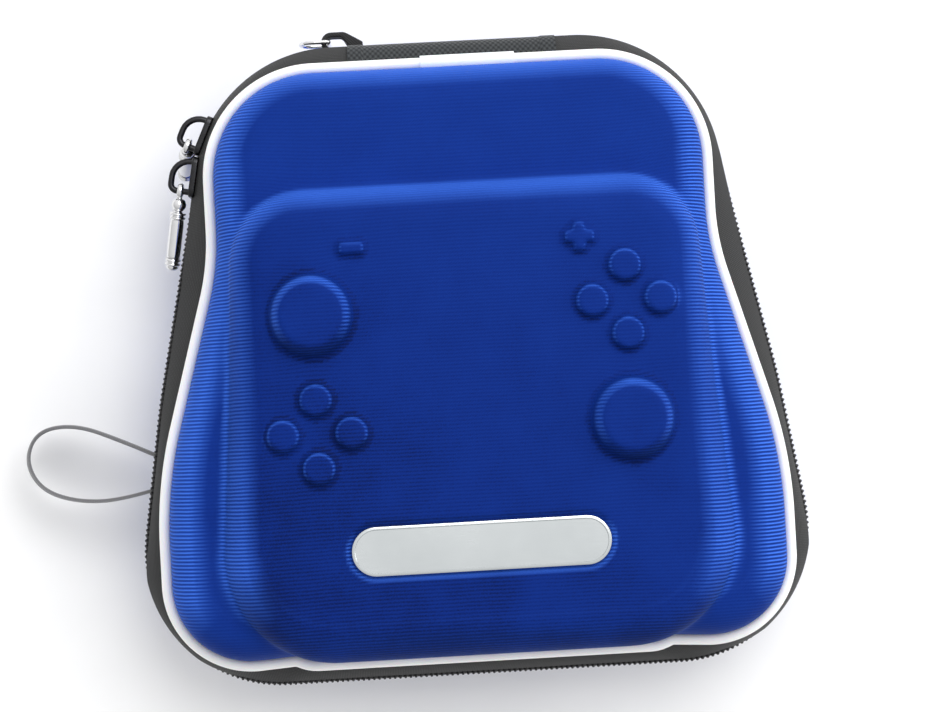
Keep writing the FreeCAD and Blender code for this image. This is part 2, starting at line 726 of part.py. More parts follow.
def left_track(reach):
    """Placement on the zip line's left side, reach past the start of the hinge-end corner."""
    radius = size("top_corner_radius")
    turn = math.pi / 2 - SIDE_ANGLE
    corner_reach = radius * math.tan(turn / 2)
    centre = Vector(corner_reach - size("top_half_width"), size("case_half_length") - radius, ZIP_PLANE)
    outward = math.pi - SIDE_ANGLE - max(reach, 0) / radius
    facing = Vector(math.cos(outward), math.sin(outward), 0)
    place = centre + facing * radius + Z_AXIS.cross(facing) * max(-reach, 0)
    return FreeCAD.Placement(place, FreeCAD.Rotation(Z_AXIS, math.degrees(outward)))


SLIDER_STEP = size("slider_length") + size("slider_spare")
UPPER_TRACK = left_track(size("upper_slider_reach"))
LOWER_TRACK = left_track(size("upper_slider_reach") - SLIDER_STEP)
add("lower_slider", slider(-1), LOWER_TRACK)
add("upper_slider", slider(1), UPPER_TRACK)


# Pulls: a flat eye, a ball, ridges and a turned barrel

BALL_FLATS = 6


def pull():
    """Pull in its own frame: the eye's bore lies on X through the origin and the pull hangs along +Y."""
    ball = size("pull_ball_radius")
    ball_place = size("pull_ball_place")
    ridge = size("pull_ridge_radius")
    groove = ridge - size("pull_groove_depth")
    step = size("pull_ridge_width") + size("pull_groove_width")
    rise = size("pull_ridge_width") / 2
    profile = []
    for i in range(1, BALL_FLATS):
        angle = math.pi * i / BALL_FLATS
        profile.append((ball * math.sin(angle), ball_place - ball * math.cos(angle)))
    along = ball_place + ball
    for _ in range(2):
        profile += [(groove, along), (ridge, along + rise)]
        along += step
    profile.append((size("pull_barrel_radius"), along))
    along += size("pull_barrel_length")
    profile.append((size("pull_barrel_radius"), along))
    for _ in range(2):
        profile += [(groove, along), (ridge, along + rise)]
        along += step
    profile += [(groove, along), (groove / 2, along + size("pull_tip"))]
    stem = turned(profile, TURNED_SIDES)
    stem.rotate(Vector(0, 0, 0), Vector(1, 0, 0), -90)
    width = size("pull_eye_width")
    across = Vector(1, 0, 0)
    eye = Part.makeCylinder(size("pull_eye_radius"), width, Vector(-width / 2, 0, 0), across)
    neck = upright_box(-width / 2, width / 2, 0, ball_place, -width / 2, width / 2)
    bore = Part.makeCylinder(size("pull_eye_bore") / 2, 4 * ball, Vector(-2 * ball, 0, 0), across)
    return eye.multiFuse([neck, stem]).cut(bore).removeSplitter()


def pull_placement(track, droop):
    """On the bail's leg, swung down from the track about the leg."""
    eye = track.multVec(Vector(size("pull_eye_place"), size("bail_leg"), 0))
    swing = FreeCAD.Rotation(Vector(1, 0, 0), -droop)
    return FreeCAD.Placement(eye, track.Rotation.multiply(swing))


add("lower_pull", pull(), pull_placement(LOWER_TRACK, size("lower_pull_angle")))
add("upper_pull", pull(), pull_placement(UPPER_TRACK, size("upper_pull_angle")))


# Ring tab on the hinge panel's left end, and its ring

TAB_HEIGHT = ZIP_PLANE - size("tab_drop")
TAB_FOOT = panel_face(size("tab_drop") - size("tab_width") / 2) + size("seat")
TAB_FOLD = -PANEL_HALF - size("tab_reach")


def tab_corners():
    thickness = size("tab_thickness")
    root = -PANEL_HALF + size("tab_lap")
    bend = size("tab_rise") / 2 - HAIR
    return [
        (TAB_FOLD, TAB_FOOT + size("tab_rise"), bend),
        (-PANEL_HALF - thickness, TAB_FOOT + size("tab_rise"), 2 * thickness),
        (root, TAB_FOOT + 2 * thickness, thickness / 4),
        (root, TAB_FOOT, thickness / 4),
        (TAB_FOLD, TAB_FOOT, bend),
    ]


def tab_hollow():
    thickness = size("tab_thickness")
    bend = size("tab_rise") / 2 - HAIR - thickness
    top = TAB_FOOT + size("tab_rise") - thickness
    return [
        (TAB_FOLD + thickness, top, bend),
        (-PANEL_HALF - 1.5 * thickness, top, thickness),
        (-PANEL_HALF - thickness / 4, TAB_FOOT + thickness, thickness / 4),
        (TAB_FOLD + thickness, TAB_FOOT + thickness, bend),
    ]


def carry_ring():
    """Wire ring lying flat: its bar is on Y through the origin and its bow reaches along -X."""
    half = size("ring_half_width")
    reach = size("ring_reach")
    wire = size("ring_wire")
    path = flat_points([
        (0, half, wire * 0.9),
        (0, -half, wire * 0.9),
        (-reach, -half, half * 0.95),
        (-reach, half, half * 0.95),
    ])
    return rod(path, wire / 2)


TAB_BOTTOM = TAB_HEIGHT - size("tab_width") / 2
padded("ring_tab", [outline(tab_corners()), outline(tab_hollow())], TAB_BOTTOM, "tab_width")
RING_X = TAB_FOLD + size("tab_thickness") + size("ring_wire") / 2 + 2 * size("seat")
RING_Y = TAB_FOOT + size("tab_rise") / 2
ON_EDGE = FreeCAD.Rotation(Vector(1, 0, 0), 90)
add("carry_ring", carry_ring(), FreeCAD.Placement(Vector(RING_X, RING_Y, TAB_HEIGHT), ON_EDGE))


# Name plate

def name_plate():
    bottom = BULGE_TOP - size("plate_sink")
    body, pad = padded("name_plate", [plate_outline(0, bottom)], bottom, "plate_thickness")
    doc.recompute()
    top = max(range(len(pad.Shape.Faces)), key=lambda i: pad.Shape.Faces[i].CenterOfMass.z)
    bevel = body.newObject("PartDesign::Chamfer", "plate_edge")
    bevel.Base = (pad, ["Face%d" % (top + 1)])
    bevel.setExpression("Size", "sizes.plate_bevel")


name_plate()


# Ribbon loop: a flat ribbon on edge from the base seam, out and back

# Out from the zip line's left side, row, and drop below the zip plane
RIBBON_ROUTE = [
    (-0.98, -18.5, 11.0),
    (9.46, -14.5, 12.0),
    (20.87, -12.3, 14.5),
    (28.95, -14.6, 17.5),
    (32.70, -20.8, 19.5),
    (27.65, -27.0, 19.5),
    (17.73, -29.3, 17.5),
    (6.80, -28.9, 14.0),
    (-1.00, -27.3, 11.5),
]


def side_loop():
    points = [Vector(-side_half_width(y) - out, y, ZIP_PLANE - drop) for out, y, drop in RIBBON_ROUTE]
    spine = Part.BSplineCurve()
    spine.interpolate(points)
    path = Part.Wire(spine.toShape())
    start = points[0]
    along = spine.tangent(spine.FirstParameter)[0]
    across = along.cross(Z_AXIS).normalize() * (size("ribbon_thickness") / 2)
    up = Z_AXIS * (size("ribbon_width") / 2)
    corners = [start + across + up, start + across - up, start - across - up, start - across + up]
    section = Part.makePolygon(corners + corners[:1])
    sweep = Part.BRepOffsetAPI.MakePipeShell(path)
    sweep.setBiNormalMode(Z_AXIS)
    sweep.add(section)
    sweep.build()
    sweep.makeSolid()
    return sweep.shape()


add("side_loop", side_loop())


# Inside: seam bindings, mesh pocket with its hem, and the strap

def binding(label, corners, inset, bottom):
    start = inset + size("binding_gap")
    wires = [outline(corners, start), outline(corners, start + size("binding_thickness"))]
    padded(label, wires, bottom, "binding_width")


LID_INNER = size("wall") + lean("lid_draft_angle", size("binding_width"))
BASE_INNER = size("base_inset") + size("wall") + lean("base_draft_angle", size("binding_width"))
binding("lid_seam_binding", rim_corners(), LID_INNER, LID_RIM)
binding("base_seam_binding", zip_corners(), BASE_INNER, BASE_RIM - size("binding_width"))

POCKET_BOTTOM = ZIP_PLANE + size("pocket_rise")
POCKET_LEAN = lean("lid_draft_angle", POCKET_BOTTOM + size("hem_thickness") - LID_RIM)
POCKET_INSET = size("wall") + POCKET_LEAN + size("seat")


def across_lid(bottom, thickness, low, high):
    """Flat piece that fills the lid's hollow between two rows."""
    sheet_piece = polygon_face(flat_points(tray_corners(), POCKET_INSET, bottom)).extrude(Z_AXIS * thickness)
    wide = size("bottom_half_width")
    return sheet_piece.common(upright_box(-wide, wide, low, high, bottom - thickness, bottom + 2 * thickness))


HEM_TOP_EDGE = size("pocket_edge") + size("hem_width")
POCKET_END = size("case_half_length")
add("mesh_pocket", across_lid(POCKET_BOTTOM, size("pocket_thickness"), HEM_TOP_EDGE, POCKET_END))
HEM_BOTTOM = POCKET_BOTTOM + size("pocket_thickness") / 2 - size("hem_thickness") / 2
add("pocket_hem", across_lid(HEM_BOTTOM, size("hem_thickness"), size("pocket_edge"), HEM_TOP_EDGE))


def controller_strap():
    bottom = ZIP_PLANE - size("strap_drop")
    inset = BASE_INNER + size("binding_thickness") + 2 * size("binding_gap")
    thickness = size("strap_thickness")
    strip = polygon_face(flat_points(zip_corners(), inset, bottom)).extrude(Z_AXIS * thickness)
    wide = size("bottom_half_width")
    low = size("strap_place") - size("strap_width") / 2
    high = size("strap_place") + size("strap_width") / 2
    return strip.common(upright_box(-wide, wide, low, high, bottom - thickness, bottom + 2 * thickness))


add("controller_strap", controller_strap())


# Check every sub-part and write it

doc.recompute()
PARTS = [o for o in doc.Objects if o.TypeId in ("Part::Feature", "PartDesign::Body")]
os.makedirs("parts", exist_ok=True)
for part in PARTS:
    if "Invalid" in part.State or "Error" in part.State:
        raise RuntimeError("%s did not recompute" % part.Label)
    if part.Shape.isNull() or not part.Shape.isValid():
        raise RuntimeError("%s has no valid shape" % part.Label)
    part.Shape.exportStep("parts/%s.step" % part.Label)
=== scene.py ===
# Looks of the controller carrying case: cloth, piping, zip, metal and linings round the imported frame.
import math
import bmesh
import bpy
import numpy as np
from mathutils import Matrix, Vector


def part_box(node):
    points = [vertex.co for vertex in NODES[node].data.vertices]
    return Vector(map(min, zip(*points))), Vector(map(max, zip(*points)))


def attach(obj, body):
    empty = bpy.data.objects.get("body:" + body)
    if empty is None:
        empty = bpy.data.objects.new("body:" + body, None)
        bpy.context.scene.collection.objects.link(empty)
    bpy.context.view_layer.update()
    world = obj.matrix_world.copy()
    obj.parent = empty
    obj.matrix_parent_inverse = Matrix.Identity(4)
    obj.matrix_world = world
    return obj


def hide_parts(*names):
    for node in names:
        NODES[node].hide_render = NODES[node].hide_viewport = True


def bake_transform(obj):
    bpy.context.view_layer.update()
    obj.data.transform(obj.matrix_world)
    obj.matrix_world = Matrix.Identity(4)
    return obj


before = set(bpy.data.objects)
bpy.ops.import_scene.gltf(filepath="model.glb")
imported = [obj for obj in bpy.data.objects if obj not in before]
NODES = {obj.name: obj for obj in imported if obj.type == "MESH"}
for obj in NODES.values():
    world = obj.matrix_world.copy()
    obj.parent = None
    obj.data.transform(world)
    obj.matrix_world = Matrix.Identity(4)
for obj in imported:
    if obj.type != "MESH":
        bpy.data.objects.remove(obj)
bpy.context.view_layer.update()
MM = 0.001

# Sizes in mm
ZIP_PLANE = 30.0
LID_RIM = 36.5
BASE_RIM = 23.5
BASE_INSET = 4.5
PIPING_RADIUS = 1.4
SEAT = 0.1
ZIP_END = 25.0
PANEL_HALF = 25.3
TAPE_THICKNESS = 0.8
COIL_WIDTH = 2.2
COIL_HEIGHT = 1.45
COIL_PITCH = 1.27
ROW_GAP = 0.45
RIB_PITCH = 0.87
TRAY_TOP = 54.0
BULGE_TOP = 63.0
WALL = 4.0
STICK_PLACES = ((-36.42, 10.48), (36.42, -16.98))
BUTTON_CENTRES = ((36.42, 10.48), (-36.42, -16.98))
BUTTON_SPACING = 7.9
SIGN_COLUMN = 26.3
SIGN_ROW = 25.47
SIGN_WIDTH = 2.6
MINUS_LENGTH = 5.6
PLUS_LENGTH = 6.8
PLATE_ROW = -44.52
PLATE_HALF = 30.0
PLATE_HALF_WIDTH = 5.75


def mirrored(half, middle=()):
    """Clockwise corners from the right half, listed from the hinge end down."""
    return list(half) + list(middle) + [(-x, y, r) for x, y, r in reversed(half)]


# Corners in the plan with their radii; the zip line and the raised form bow out more than the solids' do
ZIP_CORNERS = mirrored([(57.7, 76.5, 34.7), (75.6, -8.0, 200.0), (86.6, -77.7, 33.0)])
LID_SIDES = [(58.622, 69.2, 24.5), (58.622, 24.48, 60.2), (73.579, -28.0, 101.3), (73.579, -71.4, 18.5)]
RIM_CORNERS = mirrored(LID_SIDES + [(44.957, -69.6, 4.0), (41.628, -71.0, 8.0)])
TRAY_CORNERS = mirrored(LID_SIDES, [(0.0, -66.8, 150.0)])
BULGE_CORNERS = mirrored([(54.8, 40.316, 18.0), (57.2, -6.0, 120.0), (62.4, -71.0, 26.0)])


# Outlines

def unit(vectors):
    return vectors / np.maximum(np.linalg.norm(vectors, axis=-1, keepdims=True), 1e-9)


def outline(corners, inset=0.0, step=0.7, divided=True):
    """Points of a rounded outline through clockwise corners (x, y, radius), moved in by inset."""
    places = np.array([c[:2] for c in corners])
    arcs = []
    for i, (here, corner) in enumerate(zip(places, corners)):
        into = unit(here - places[i - 1])
        out = unit(places[(i + 1) % len(places)] - here)
        turn = math.atan2(into[0] * out[1] - into[1] * out[0], into @ out)
        in_side = np.array((into[1], -into[0]))
        out_side = np.array((out[1], -out[0]))
        apex = here + (in_side + out_side) * inset / (1 + in_side @ out_side)
        convex = turn < 0
        bend = corner[2] - inset if convex else corner[2] + inset
        side = in_side if convex else -in_side
        centre = apex - into * bend * math.tan(abs(turn) / 2) + side * bend
        count = max(3, int(abs(turn) * corner[2] / step))
        angles = math.atan2(-side[1], -side[0]) + turn * np.linspace(0, 1, count)
        arcs.append(centre + bend * np.column_stack((np.cos(angles), np.sin(angles))))
    if not divided:
        return np.concatenate(arcs)
    points = []
    for i, arc in enumerate(arcs):
        start = arcs[i - 1][-1]
        count = max(1, int(np.linalg.norm(arc[0] - start) / step))
        points.append(start + (arc[0] - start) * (np.arange(1, count) / count)[:, None])
        points.append(arc)
    return np.concatenate(points)


def round_from_grip(points, angles):
    """Points of an outline at angles measured round the case from the middle of its grip end."""
    turns = np.arctan2(points[:, 0], -points[:, 1])
    order = np.argsort(turns)
    reach = np.interp(angles, turns[order], np.hypot(*points.T)[order], period=2 * math.pi)
    return np.column_stack((reach * np.sin(angles), -reach * np.cos(angles)))


def open_outline(points, half_gap, count):
    """An outline without its stretch of that half width at the hinge, as count points."""
    top = points[points[:, 1] > 0]
    top = top[np.argsort(top[:, 0])]
    row = np.interp(0.0, top[:, 0], top[:, 1])
    end = math.atan2(half_gap, -row)
    return round_from_grip(points, np.linspace(-end, end, count))


def at_height(ring, height):
    """Points of the plan raised to one height."""
    return np.column_stack((ring, np.full(len(ring), height)))


def stacked(levels):
    """Loops of points from pairs of a ring in the plan and its height."""
    return np.stack([at_height(ring, height) for ring, height in levels])


def lengths(points):
    """Distance along a line of points at each point."""
    steps = np.linalg.norm(np.diff(points, axis=0), axis=1)
    return np.concatenate(((0.0,), np.cumsum(steps)))


# Meshes

def placed(name, data):
    """New object in the scene."""
    obj = bpy.data.objects.new(name, data)
    bpy.context.scene.collection.objects.link(obj)
    return obj


def piece(name, points, faces, sharp=None, **where):
    """New mesh object from points in mm; it rides on a body and stands for CAD nodes."""
    mesh = bpy.data.meshes.new(name)
    mesh.from_pydata((np.asarray(points) * MM).tolist(), [], faces)
    shaped = bmesh.new()
    shaped.from_mesh(mesh)
    bmesh.ops.recalc_face_normals(shaped, faces=shaped.faces)
    shaped.to_mesh(mesh)
    shaped.free()
    mesh.shade_smooth()
    if sharp:
        mesh.set_sharp_from_angle(angle=math.radians(sharp))
    return dress(placed(name, mesh), **where)


def dress(obj, body=None, stands_for=(), finish=None):
    """The object with its body, the CAD nodes it stands for, and its material; the slot name given with the
    material is not used.
    """
    if body:
        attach(obj, body)
    if stands_for:
        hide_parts(*stands_for)
    if finish:
        obj.data.materials.clear()
        obj.data.materials.append(finish[0])
    return obj


def put(obj, name, values):
    """Store one number per point for the materials."""
    layer = obj.data.attributes.new(name, "FLOAT", "POINT")
    layer.data.foreach_set("value", np.asarray(values, np.float32).ravel())


def skin(loops, closed=False):
    """Points and faces over loops, an array (loop, point, xyz), capped unless it closes on itself."""
    count, sides = loops.shape[:2]
    total = count * sides
    spans = np.arange(count if closed else count - 1)
    a = (spans[:, None] * sides + np.arange(sides)).ravel()
    b = (spans[:, None] * sides + (np.arange(sides) + 1) % sides).ravel()
    faces = np.column_stack((a, b, (b + sides) % total, (a + sides) % total)).tolist()
    if not closed:
        faces.append(list(range(sides)))
        faces.append(list(range(total - sides, total)))
    return loops.reshape(-1, 3), faces


def joined(parts):
    """Points and faces of several meshes as one."""
    points = []
    faces = []
    for part_points, part_faces in parts:
        shift = sum(len(p) for p in points)
        points.append(part_points)
        faces += [[v + shift for v in face] for face in part_faces]
    return np.concatenate(points), faces


def rings(name, loops, closed=False, **where):
    """Piece over loops of points that knows its length along and across, in mm."""
    obj = piece(name, *skin(loops, closed), sharp=50, **where)
    put(obj, "along", np.repeat(lengths(loops.mean(1)), loops.shape[1]))
    edge = np.linalg.norm(np.diff(loops, axis=1, append=loops[:, :1]), axis=2)
    put(obj, "across", np.cumsum(edge, 1) - edge)
    return obj


def carried(path, across, up, section):
    """Loops of a section of (across, up) points carried along a path."""
    return path[:, None] + across[:, None] * section[None, :, :1] + up[:, None] * section[None, :, 1:]


def sweep(name, path, across, up, section, closed=False, **where):
    """Piece with one section all along a path."""
    return rings(name, carried(path, across, up, section), closed, **where)


def circle(radius, sides):
    angles = 2 * math.pi * np.arange(sides) / sides
    return radius * np.column_stack((np.cos(angles), np.sin(angles)))


def soft_bar(width, height, edge, steps=3):
    """Rectangle with rounded corners as a section, centred on the path."""
    quarter = np.linspace(0, math.pi / 2, steps)
    points = []
    for i, (sx, sy) in enumerate(((1, 1), (-1, 1), (-1, -1), (1, -1))):
        angles = quarter + i * math.pi / 2
        corner = np.array((sx * (width / 2 - edge), sy * (height / 2 - edge)))
        points.append(corner + edge * np.column_stack((np.cos(angles), np.sin(angles))))
    return np.concatenate(points)


def level(points, height):
    """Closed clockwise outline at one height, with its outward and upward directions."""
    path = at_height(points, height)
    ahead = unit(np.roll(points, -1, 0) - np.roll(points, 1, 0))
    out = at_height(np.column_stack((-ahead[:, 1], ahead[:, 0])), 0.0)
    return path, out, np.tile((0.0, 0.0, 1.0), (len(points), 1))


def baked(obj):
    """The object with its modifiers applied."""
    graph = bpy.context.evaluated_depsgraph_get()
    mesh = bpy.data.meshes.new_from_object(obj.evaluated_get(graph))
    obj.modifiers.clear()
    obj.data = mesh
    return obj


def softened(obj, voxel, passes):
    """The object as one skin of small even faces, a voxel in mm across, with its edges softened."""
    even = obj.modifiers.new("even", "REMESH")
    even.mode = "VOXEL"
    even.voxel_size = voxel * MM
    soft = obj.modifiers.new("soft", "SMOOTH")
    soft.factor = 0.5
    soft.iterations = passes
    baked(obj)
    obj.data.shade_smooth()
    return obj


def from_node(name, node, voxel, passes, grown=0.0, **where):
    """New piece with a CAD node's form, softened and grown by so many mm."""
    shaped = bmesh.new()
    shaped.from_mesh(NODES[node].data)
    bmesh.ops.remove_doubles(shaped, verts=shaped.verts, dist=1e-6)
    mesh = bpy.data.meshes.new(name)
    shaped.to_mesh(mesh)
    shaped.free()
    obj = softened(placed(name, mesh), voxel, passes)
    points, normals, _ = mesh_arrays(obj)
    move_points(obj, points + normals * grown)
    return dress(obj, stands_for=(node,), **where)


def move_points(obj, points):
    """Give a mesh new points in mm."""
    obj.data.vertices.foreach_set("co", (points * MM).astype(np.float32).ravel())
    obj.data.update()


def mesh_arrays(obj):
    """Points in mm, their normals and the edges of an object's mesh."""
    mesh = obj.data
    points = np.empty(len(mesh.vertices) * 3, np.float32)
    mesh.vertices.foreach_get("co", points)
    normals = np.empty(len(mesh.vertices) * 3, np.float32)
    mesh.vertex_normals.foreach_get("vector", normals)
    edges = np.empty(len(mesh.edges) * 2, np.int32)
    mesh.edges.foreach_get("vertices", edges)
    points = points.reshape(-1, 3).astype(float) / MM
    normals = normals.reshape(-1, 3).astype(float)
    return points, normals, edges.reshape(-1, 2)


def cloth_coordinate(obj, axis, turns=500):
    """Distance along stretched cloth that was laid on with one of its threads along an axis."""
    points, normals, edges = mesh_arrays(obj)
    axis = np.array(axis, float)
    slope = axis - normals * (normals @ axis)[:, None]
    slope /= np.maximum(np.linalg.norm(slope, axis=1, keepdims=True), 0.2)
    first, second = edges.T
    wanted = np.einsum("ij,ij->i", (slope[first] + slope[second]) / 2, points[second] - points[first])
    count = len(points)

    def spread(values):
        return np.bincount(second, values, count) - np.bincount(first, values, count)

    # Least squares over the edges by conjugate gradients
    found = points @ axis
    rest = spread(wanted) - spread(found[second] - found[first])
    way = rest.copy()
    power = rest @ rest
    for _ in range(turns):
        pushed = spread(way[second] - way[first])
        pace = power / (way @ pushed)
        found += pace * way
        rest -= pace * pushed
        was, power = power, rest @ rest
        if power < 1e-9:
            break
        way = rest + way * (power / was)
    return found


# Materials

class Nodes:
    """Short hand for one material's node tree."""

    def __init__(self, name):
        self.material = bpy.data.materials.new(name)
        self.material.use_nodes = True
        self.tree = self.material.node_tree
        self.shader = self.tree.nodes["Principled BSDF"]

    def add(self, kind, **values):
        node = self.tree.nodes.new(kind)
        for key, value in values.items():
            setattr(node, key, value)
        return node

    def link(self, source, target):
        self.tree.links.new(source, target)

    def math(self, operation, a, b=None, c=None):
        node = self.add("ShaderNodeMath", operation=operation)
        for socket, value in zip(node.inputs, (a, b, c)):
            if value is None:
                continue
            if isinstance(value, (int, float)):
                socket.default_value = value
            else:
                self.link(value, socket)
        return node.outputs[0]

    def number(self, name):
        """A number stored on the mesh, in mm."""
        return self.add("ShaderNodeAttribute", attribute_name=name).outputs["Fac"]

    def place(self):
        return self.add("ShaderNodeTexCoord").outputs["Object"]

    def noise(self, scale, detail=3.0, rough=0.55):
        node = self.add("ShaderNodeTexNoise")
        node.inputs["Scale"].default_value = scale
        node.inputs["Detail"].default_value = detail
        node.inputs["Roughness"].default_value = rough
        self.link(self.place(), node.inputs["Vector"])
        return node.outputs["Fac"]

    def wave(self, value, pitch, shift=0.0):
        """Sine from 0 to 1 with a pitch in mm."""
        turn = self.math("MULTIPLY_ADD", value, 2 * math.pi / pitch, shift)
        return self.math("MULTIPLY_ADD", self.math("SINE", turn), 0.5, 0.5)

    def ramp(self, value, *stops):
        node = self.add("ShaderNodeValToRGB")
        node.color_ramp.elements[0].position = stops[0][0]
        node.color_ramp.elements[1].position = stops[-1][0]
        for spot, _ in stops[1:-1]:
            node.color_ramp.elements.new(spot)
        for element, (_, colour) in zip(node.color_ramp.elements, stops):
            element.color = (*colour, 1.0)
        self.link(value, node.inputs["Fac"])
        return node.outputs["Color"]

    def range(self, value, low, high):
        node = self.add("ShaderNodeMapRange")
        node.inputs["To Min"].default_value = low
        node.inputs["To Max"].default_value = high
        self.link(value, node.inputs["Value"])
        return node.outputs["Result"]

    def colour(self, source):
        self.link(source, self.shader.inputs["Base Color"])

    def rough(self, source):
        self.link(source, self.shader.inputs["Roughness"])

    def bump(self, height, distance):
        """Bump of a height from 0 to 1 that is so many mm high."""
        node = self.add("ShaderNodeBump")
        node.inputs["Strength"].default_value = 1.0
        node.inputs["Distance"].default_value = distance * MM
        self.link(height, node.inputs["Height"])
        before = self.shader.inputs["Normal"].links
        if before:
            self.link(before[0].from_socket, node.inputs["Normal"])
        self.link(node.outputs["Normal"], self.shader.inputs["Normal"])

    def set(self, **values):
        for key, value in values.items():
            self.shader.inputs[key.replace("_", " ")].default_value = value


def ribbed_cloth(name, flat, valley, painted_crest_highlight, sheen):
    """Ribbed knit that was stretched over the moulding: its ribs open on the flanks, where they are painted
    bright as a painted sheen, and painted shade darkens it where the stored tone is low.
    """
    n = Nodes(name)
    stretch_and_painted_sheen = n.number("stretch_and_painted_sheen")
    fuzz = n.noise(2600.0, 4.0, 0.7)
    cloud = n.noise(70.0, 4.0)
    across = n.math("MULTIPLY_ADD", n.noise(90.0, 2.0), 0.4, n.number("rib"))
    rib = n.wave(across, RIB_PITCH)
    stitch = n.wave(n.math("MULTIPLY_ADD", n.number("rib"), 1.7, n.number("thread")), 0.62)
    grain = n.math("MULTIPLY_ADD", cloud, 0.35, n.math("MULTIPLY", fuzz, 0.45))
    # Painted shade where the stored tone is low, mixed with the cloth's grain
    painted_shade_and_grain = n.math("MULTIPLY_ADD", n.math("SUBTRACT", n.number("weave_tone_and_painted_shade"), 1.0), 0.34, grain)
    flat_colour_and_painted_shade = n.ramp(n.math("MULTIPLY_ADD", rib, 0.16, painted_shade_and_grain), (0.0, flat[0]), (0.2, flat[1]), (0.75, flat[2]))
    # On the flanks the rib crests are painted bright: a painted sheen
    ribs_opened_and_painted_light = n.number("ribs_opened_and_painted_light")
    shown = n.math("MULTIPLY_ADD", n.math("SUBTRACT", rib, 0.6), ribs_opened_and_painted_light, 0.6)
    lit = n.math("MULTIPLY_ADD", shown, 0.8, n.math("MULTIPLY", grain, 0.5))
    painted_sheen_colour = n.ramp(lit, (0.25, valley), (0.95, painted_crest_highlight))
    blend = n.add("ShaderNodeMix", data_type="RGBA")
    n.link(stretch_and_painted_sheen, blend.inputs["Factor"])
    n.link(flat_colour_and_painted_shade, blend.inputs["A"])
    n.link(painted_sheen_colour, blend.inputs["B"])
    n.colour(blend.outputs["Result"])
    n.rough(n.range(fuzz, 0.55, 0.8))
    relief = n.math("MULTIPLY_ADD", n.math("MULTIPLY", stretch_and_painted_sheen, ribs_opened_and_painted_light), 0.92, 0.08)
    n.bump(n.math("MULTIPLY", rib, relief), 0.30)
    n.bump(stitch, 0.02)
    n.bump(fuzz, 0.04)
    n.set(Sheen_Weight=0.09, Sheen_Roughness=0.4, Sheen_Tint=(*sheen, 1.0), Specular_IOR_Level=0.06)
    return n.material


def woven(name, dark, light, warp, weft, lean=0.0, depth=0.09, rough=(0.6, 0.85), crossed=False):
    """Woven cloth with two thread pitches in mm, leaning into a twill or crossing in diamonds."""
    n = Nodes(name)
    along = n.number("along")
    across = n.number("across")
    slanted = n.math("MULTIPLY_ADD", across, lean, along)
    one = n.wave(slanted, warp)
    two = n.wave(n.math("MULTIPLY_ADD", across, -lean, along) if crossed else across, weft)
    weave = n.math("MULTIPLY", n.math("ADD", one, two), 0.5)
    fuzz = n.noise(3200.0, 3.0, 0.7)
    weave_tone_and_painted_shade = n.math("MULTIPLY_ADD", weave, 0.6, n.math("MULTIPLY", fuzz, 0.5))
    n.colour(n.ramp(weave_tone_and_painted_shade, (0.2, dark), (0.95, light)))
    n.rough(n.range(fuzz, *rough))
    n.bump(weave, depth)
    n.bump(fuzz, 0.03)
    n.set(Sheen_Weight=0.15, Sheen_Roughness=0.4, Specular_IOR_Level=0.3)
    return n.material


def metal(name, low, high, rough, grain=(700.0, 0.02)):
    """Cast or plated metal; grain is the scale and the height in mm of its fine unevenness."""
    n = Nodes(name)
    smear = n.noise(45.0, 5.0, 0.65)
    fine = n.noise(grain[0], 4.0)
    n.colour(n.ramp(smear, (0.3, low), (0.75, high)))
    n.rough(n.range(n.math("MULTIPLY", smear, fine), *rough))
    n.bump(fine, grain[1])
    n.set(Metallic=1.0)
    return n.material


def brushed(name, low, high, rough):
    """Polished plate with fine scratches along X."""
    n = Nodes(name)
    stretch = n.add("ShaderNodeMapping")
    stretch.inputs["Scale"].default_value = (0.06, 1.0, 1.0)
    n.link(n.place(), stretch.inputs["Vector"])
    lines = n.add("ShaderNodeTexNoise")
    lines.inputs["Scale"].default_value = 4200.0
    lines.inputs["Detail"].default_value = 4.0
    n.link(stretch.outputs["Vector"], lines.inputs["Vector"])
    smear = n.noise(35.0, 4.0)
    n.colour(n.ramp(smear, (0.3, low), (0.7, high)))
    dullness = n.math("MULTIPLY_ADD", lines.outputs["Fac"], 0.6, n.math("MULTIPLY", smear, 0.4))
    n.rough(n.range(dullness, *rough))
    n.bump(lines.outputs["Fac"], 0.006)
    n.set(Metallic=1.0)
    return n.material


def plastic(name, low, high, rough, grain=(1500.0, 0.02), glow=0.0):
    """Smooth plastic with a faint mottle."""
    n = Nodes(name)
    mottle = n.noise(160.0, 4.0)
    fine = n.noise(grain[0], 3.0)
    n.colour(n.ramp(mottle, (0.3, low), (0.7, high)))
    n.rough(n.range(fine, *rough))
    n.bump(fine, grain[1])
    n.set(Specular_IOR_Level=0.45, Subsurface_Weight=glow, Subsurface_Scale=0.002)
    return n.material


# In both cloths the first flat colour is painted shade and the crest colour a painted highlight on the
# flanks
BLUE = ribbed_cloth(
    "blue_cloth",
    flat=((0.0012, 0.008, 0.072), (0.0022, 0.019, 0.172), (0.005, 0.034, 0.260)),
    valley=(0.004, 0.026, 0.24),
    painted_crest_highlight=(0.050, 0.175, 0.80),
    sheen=(0.12, 0.36, 1.0),
)
LINING = ribbed_cloth(
    "lining_cloth",
    flat=((0.006, 0.006, 0.007), (0.010, 0.010, 0.011), (0.022, 0.022, 0.024)),
    valley=(0.008, 0.008, 0.009),
    painted_crest_highlight=(0.030, 0.030, 0.033),
    sheen=(0.6, 0.6, 0.65),
)
WHITE = plastic("white_piping", (0.90, 0.90, 0.90), (0.94, 0.94, 0.94), (0.28, 0.42), glow=0.15)
TAPE = woven("zip_tape", (0.011, 0.011, 0.0115), (0.056, 0.057, 0.058), 0.6, 0.5, 1.0, 0.06)
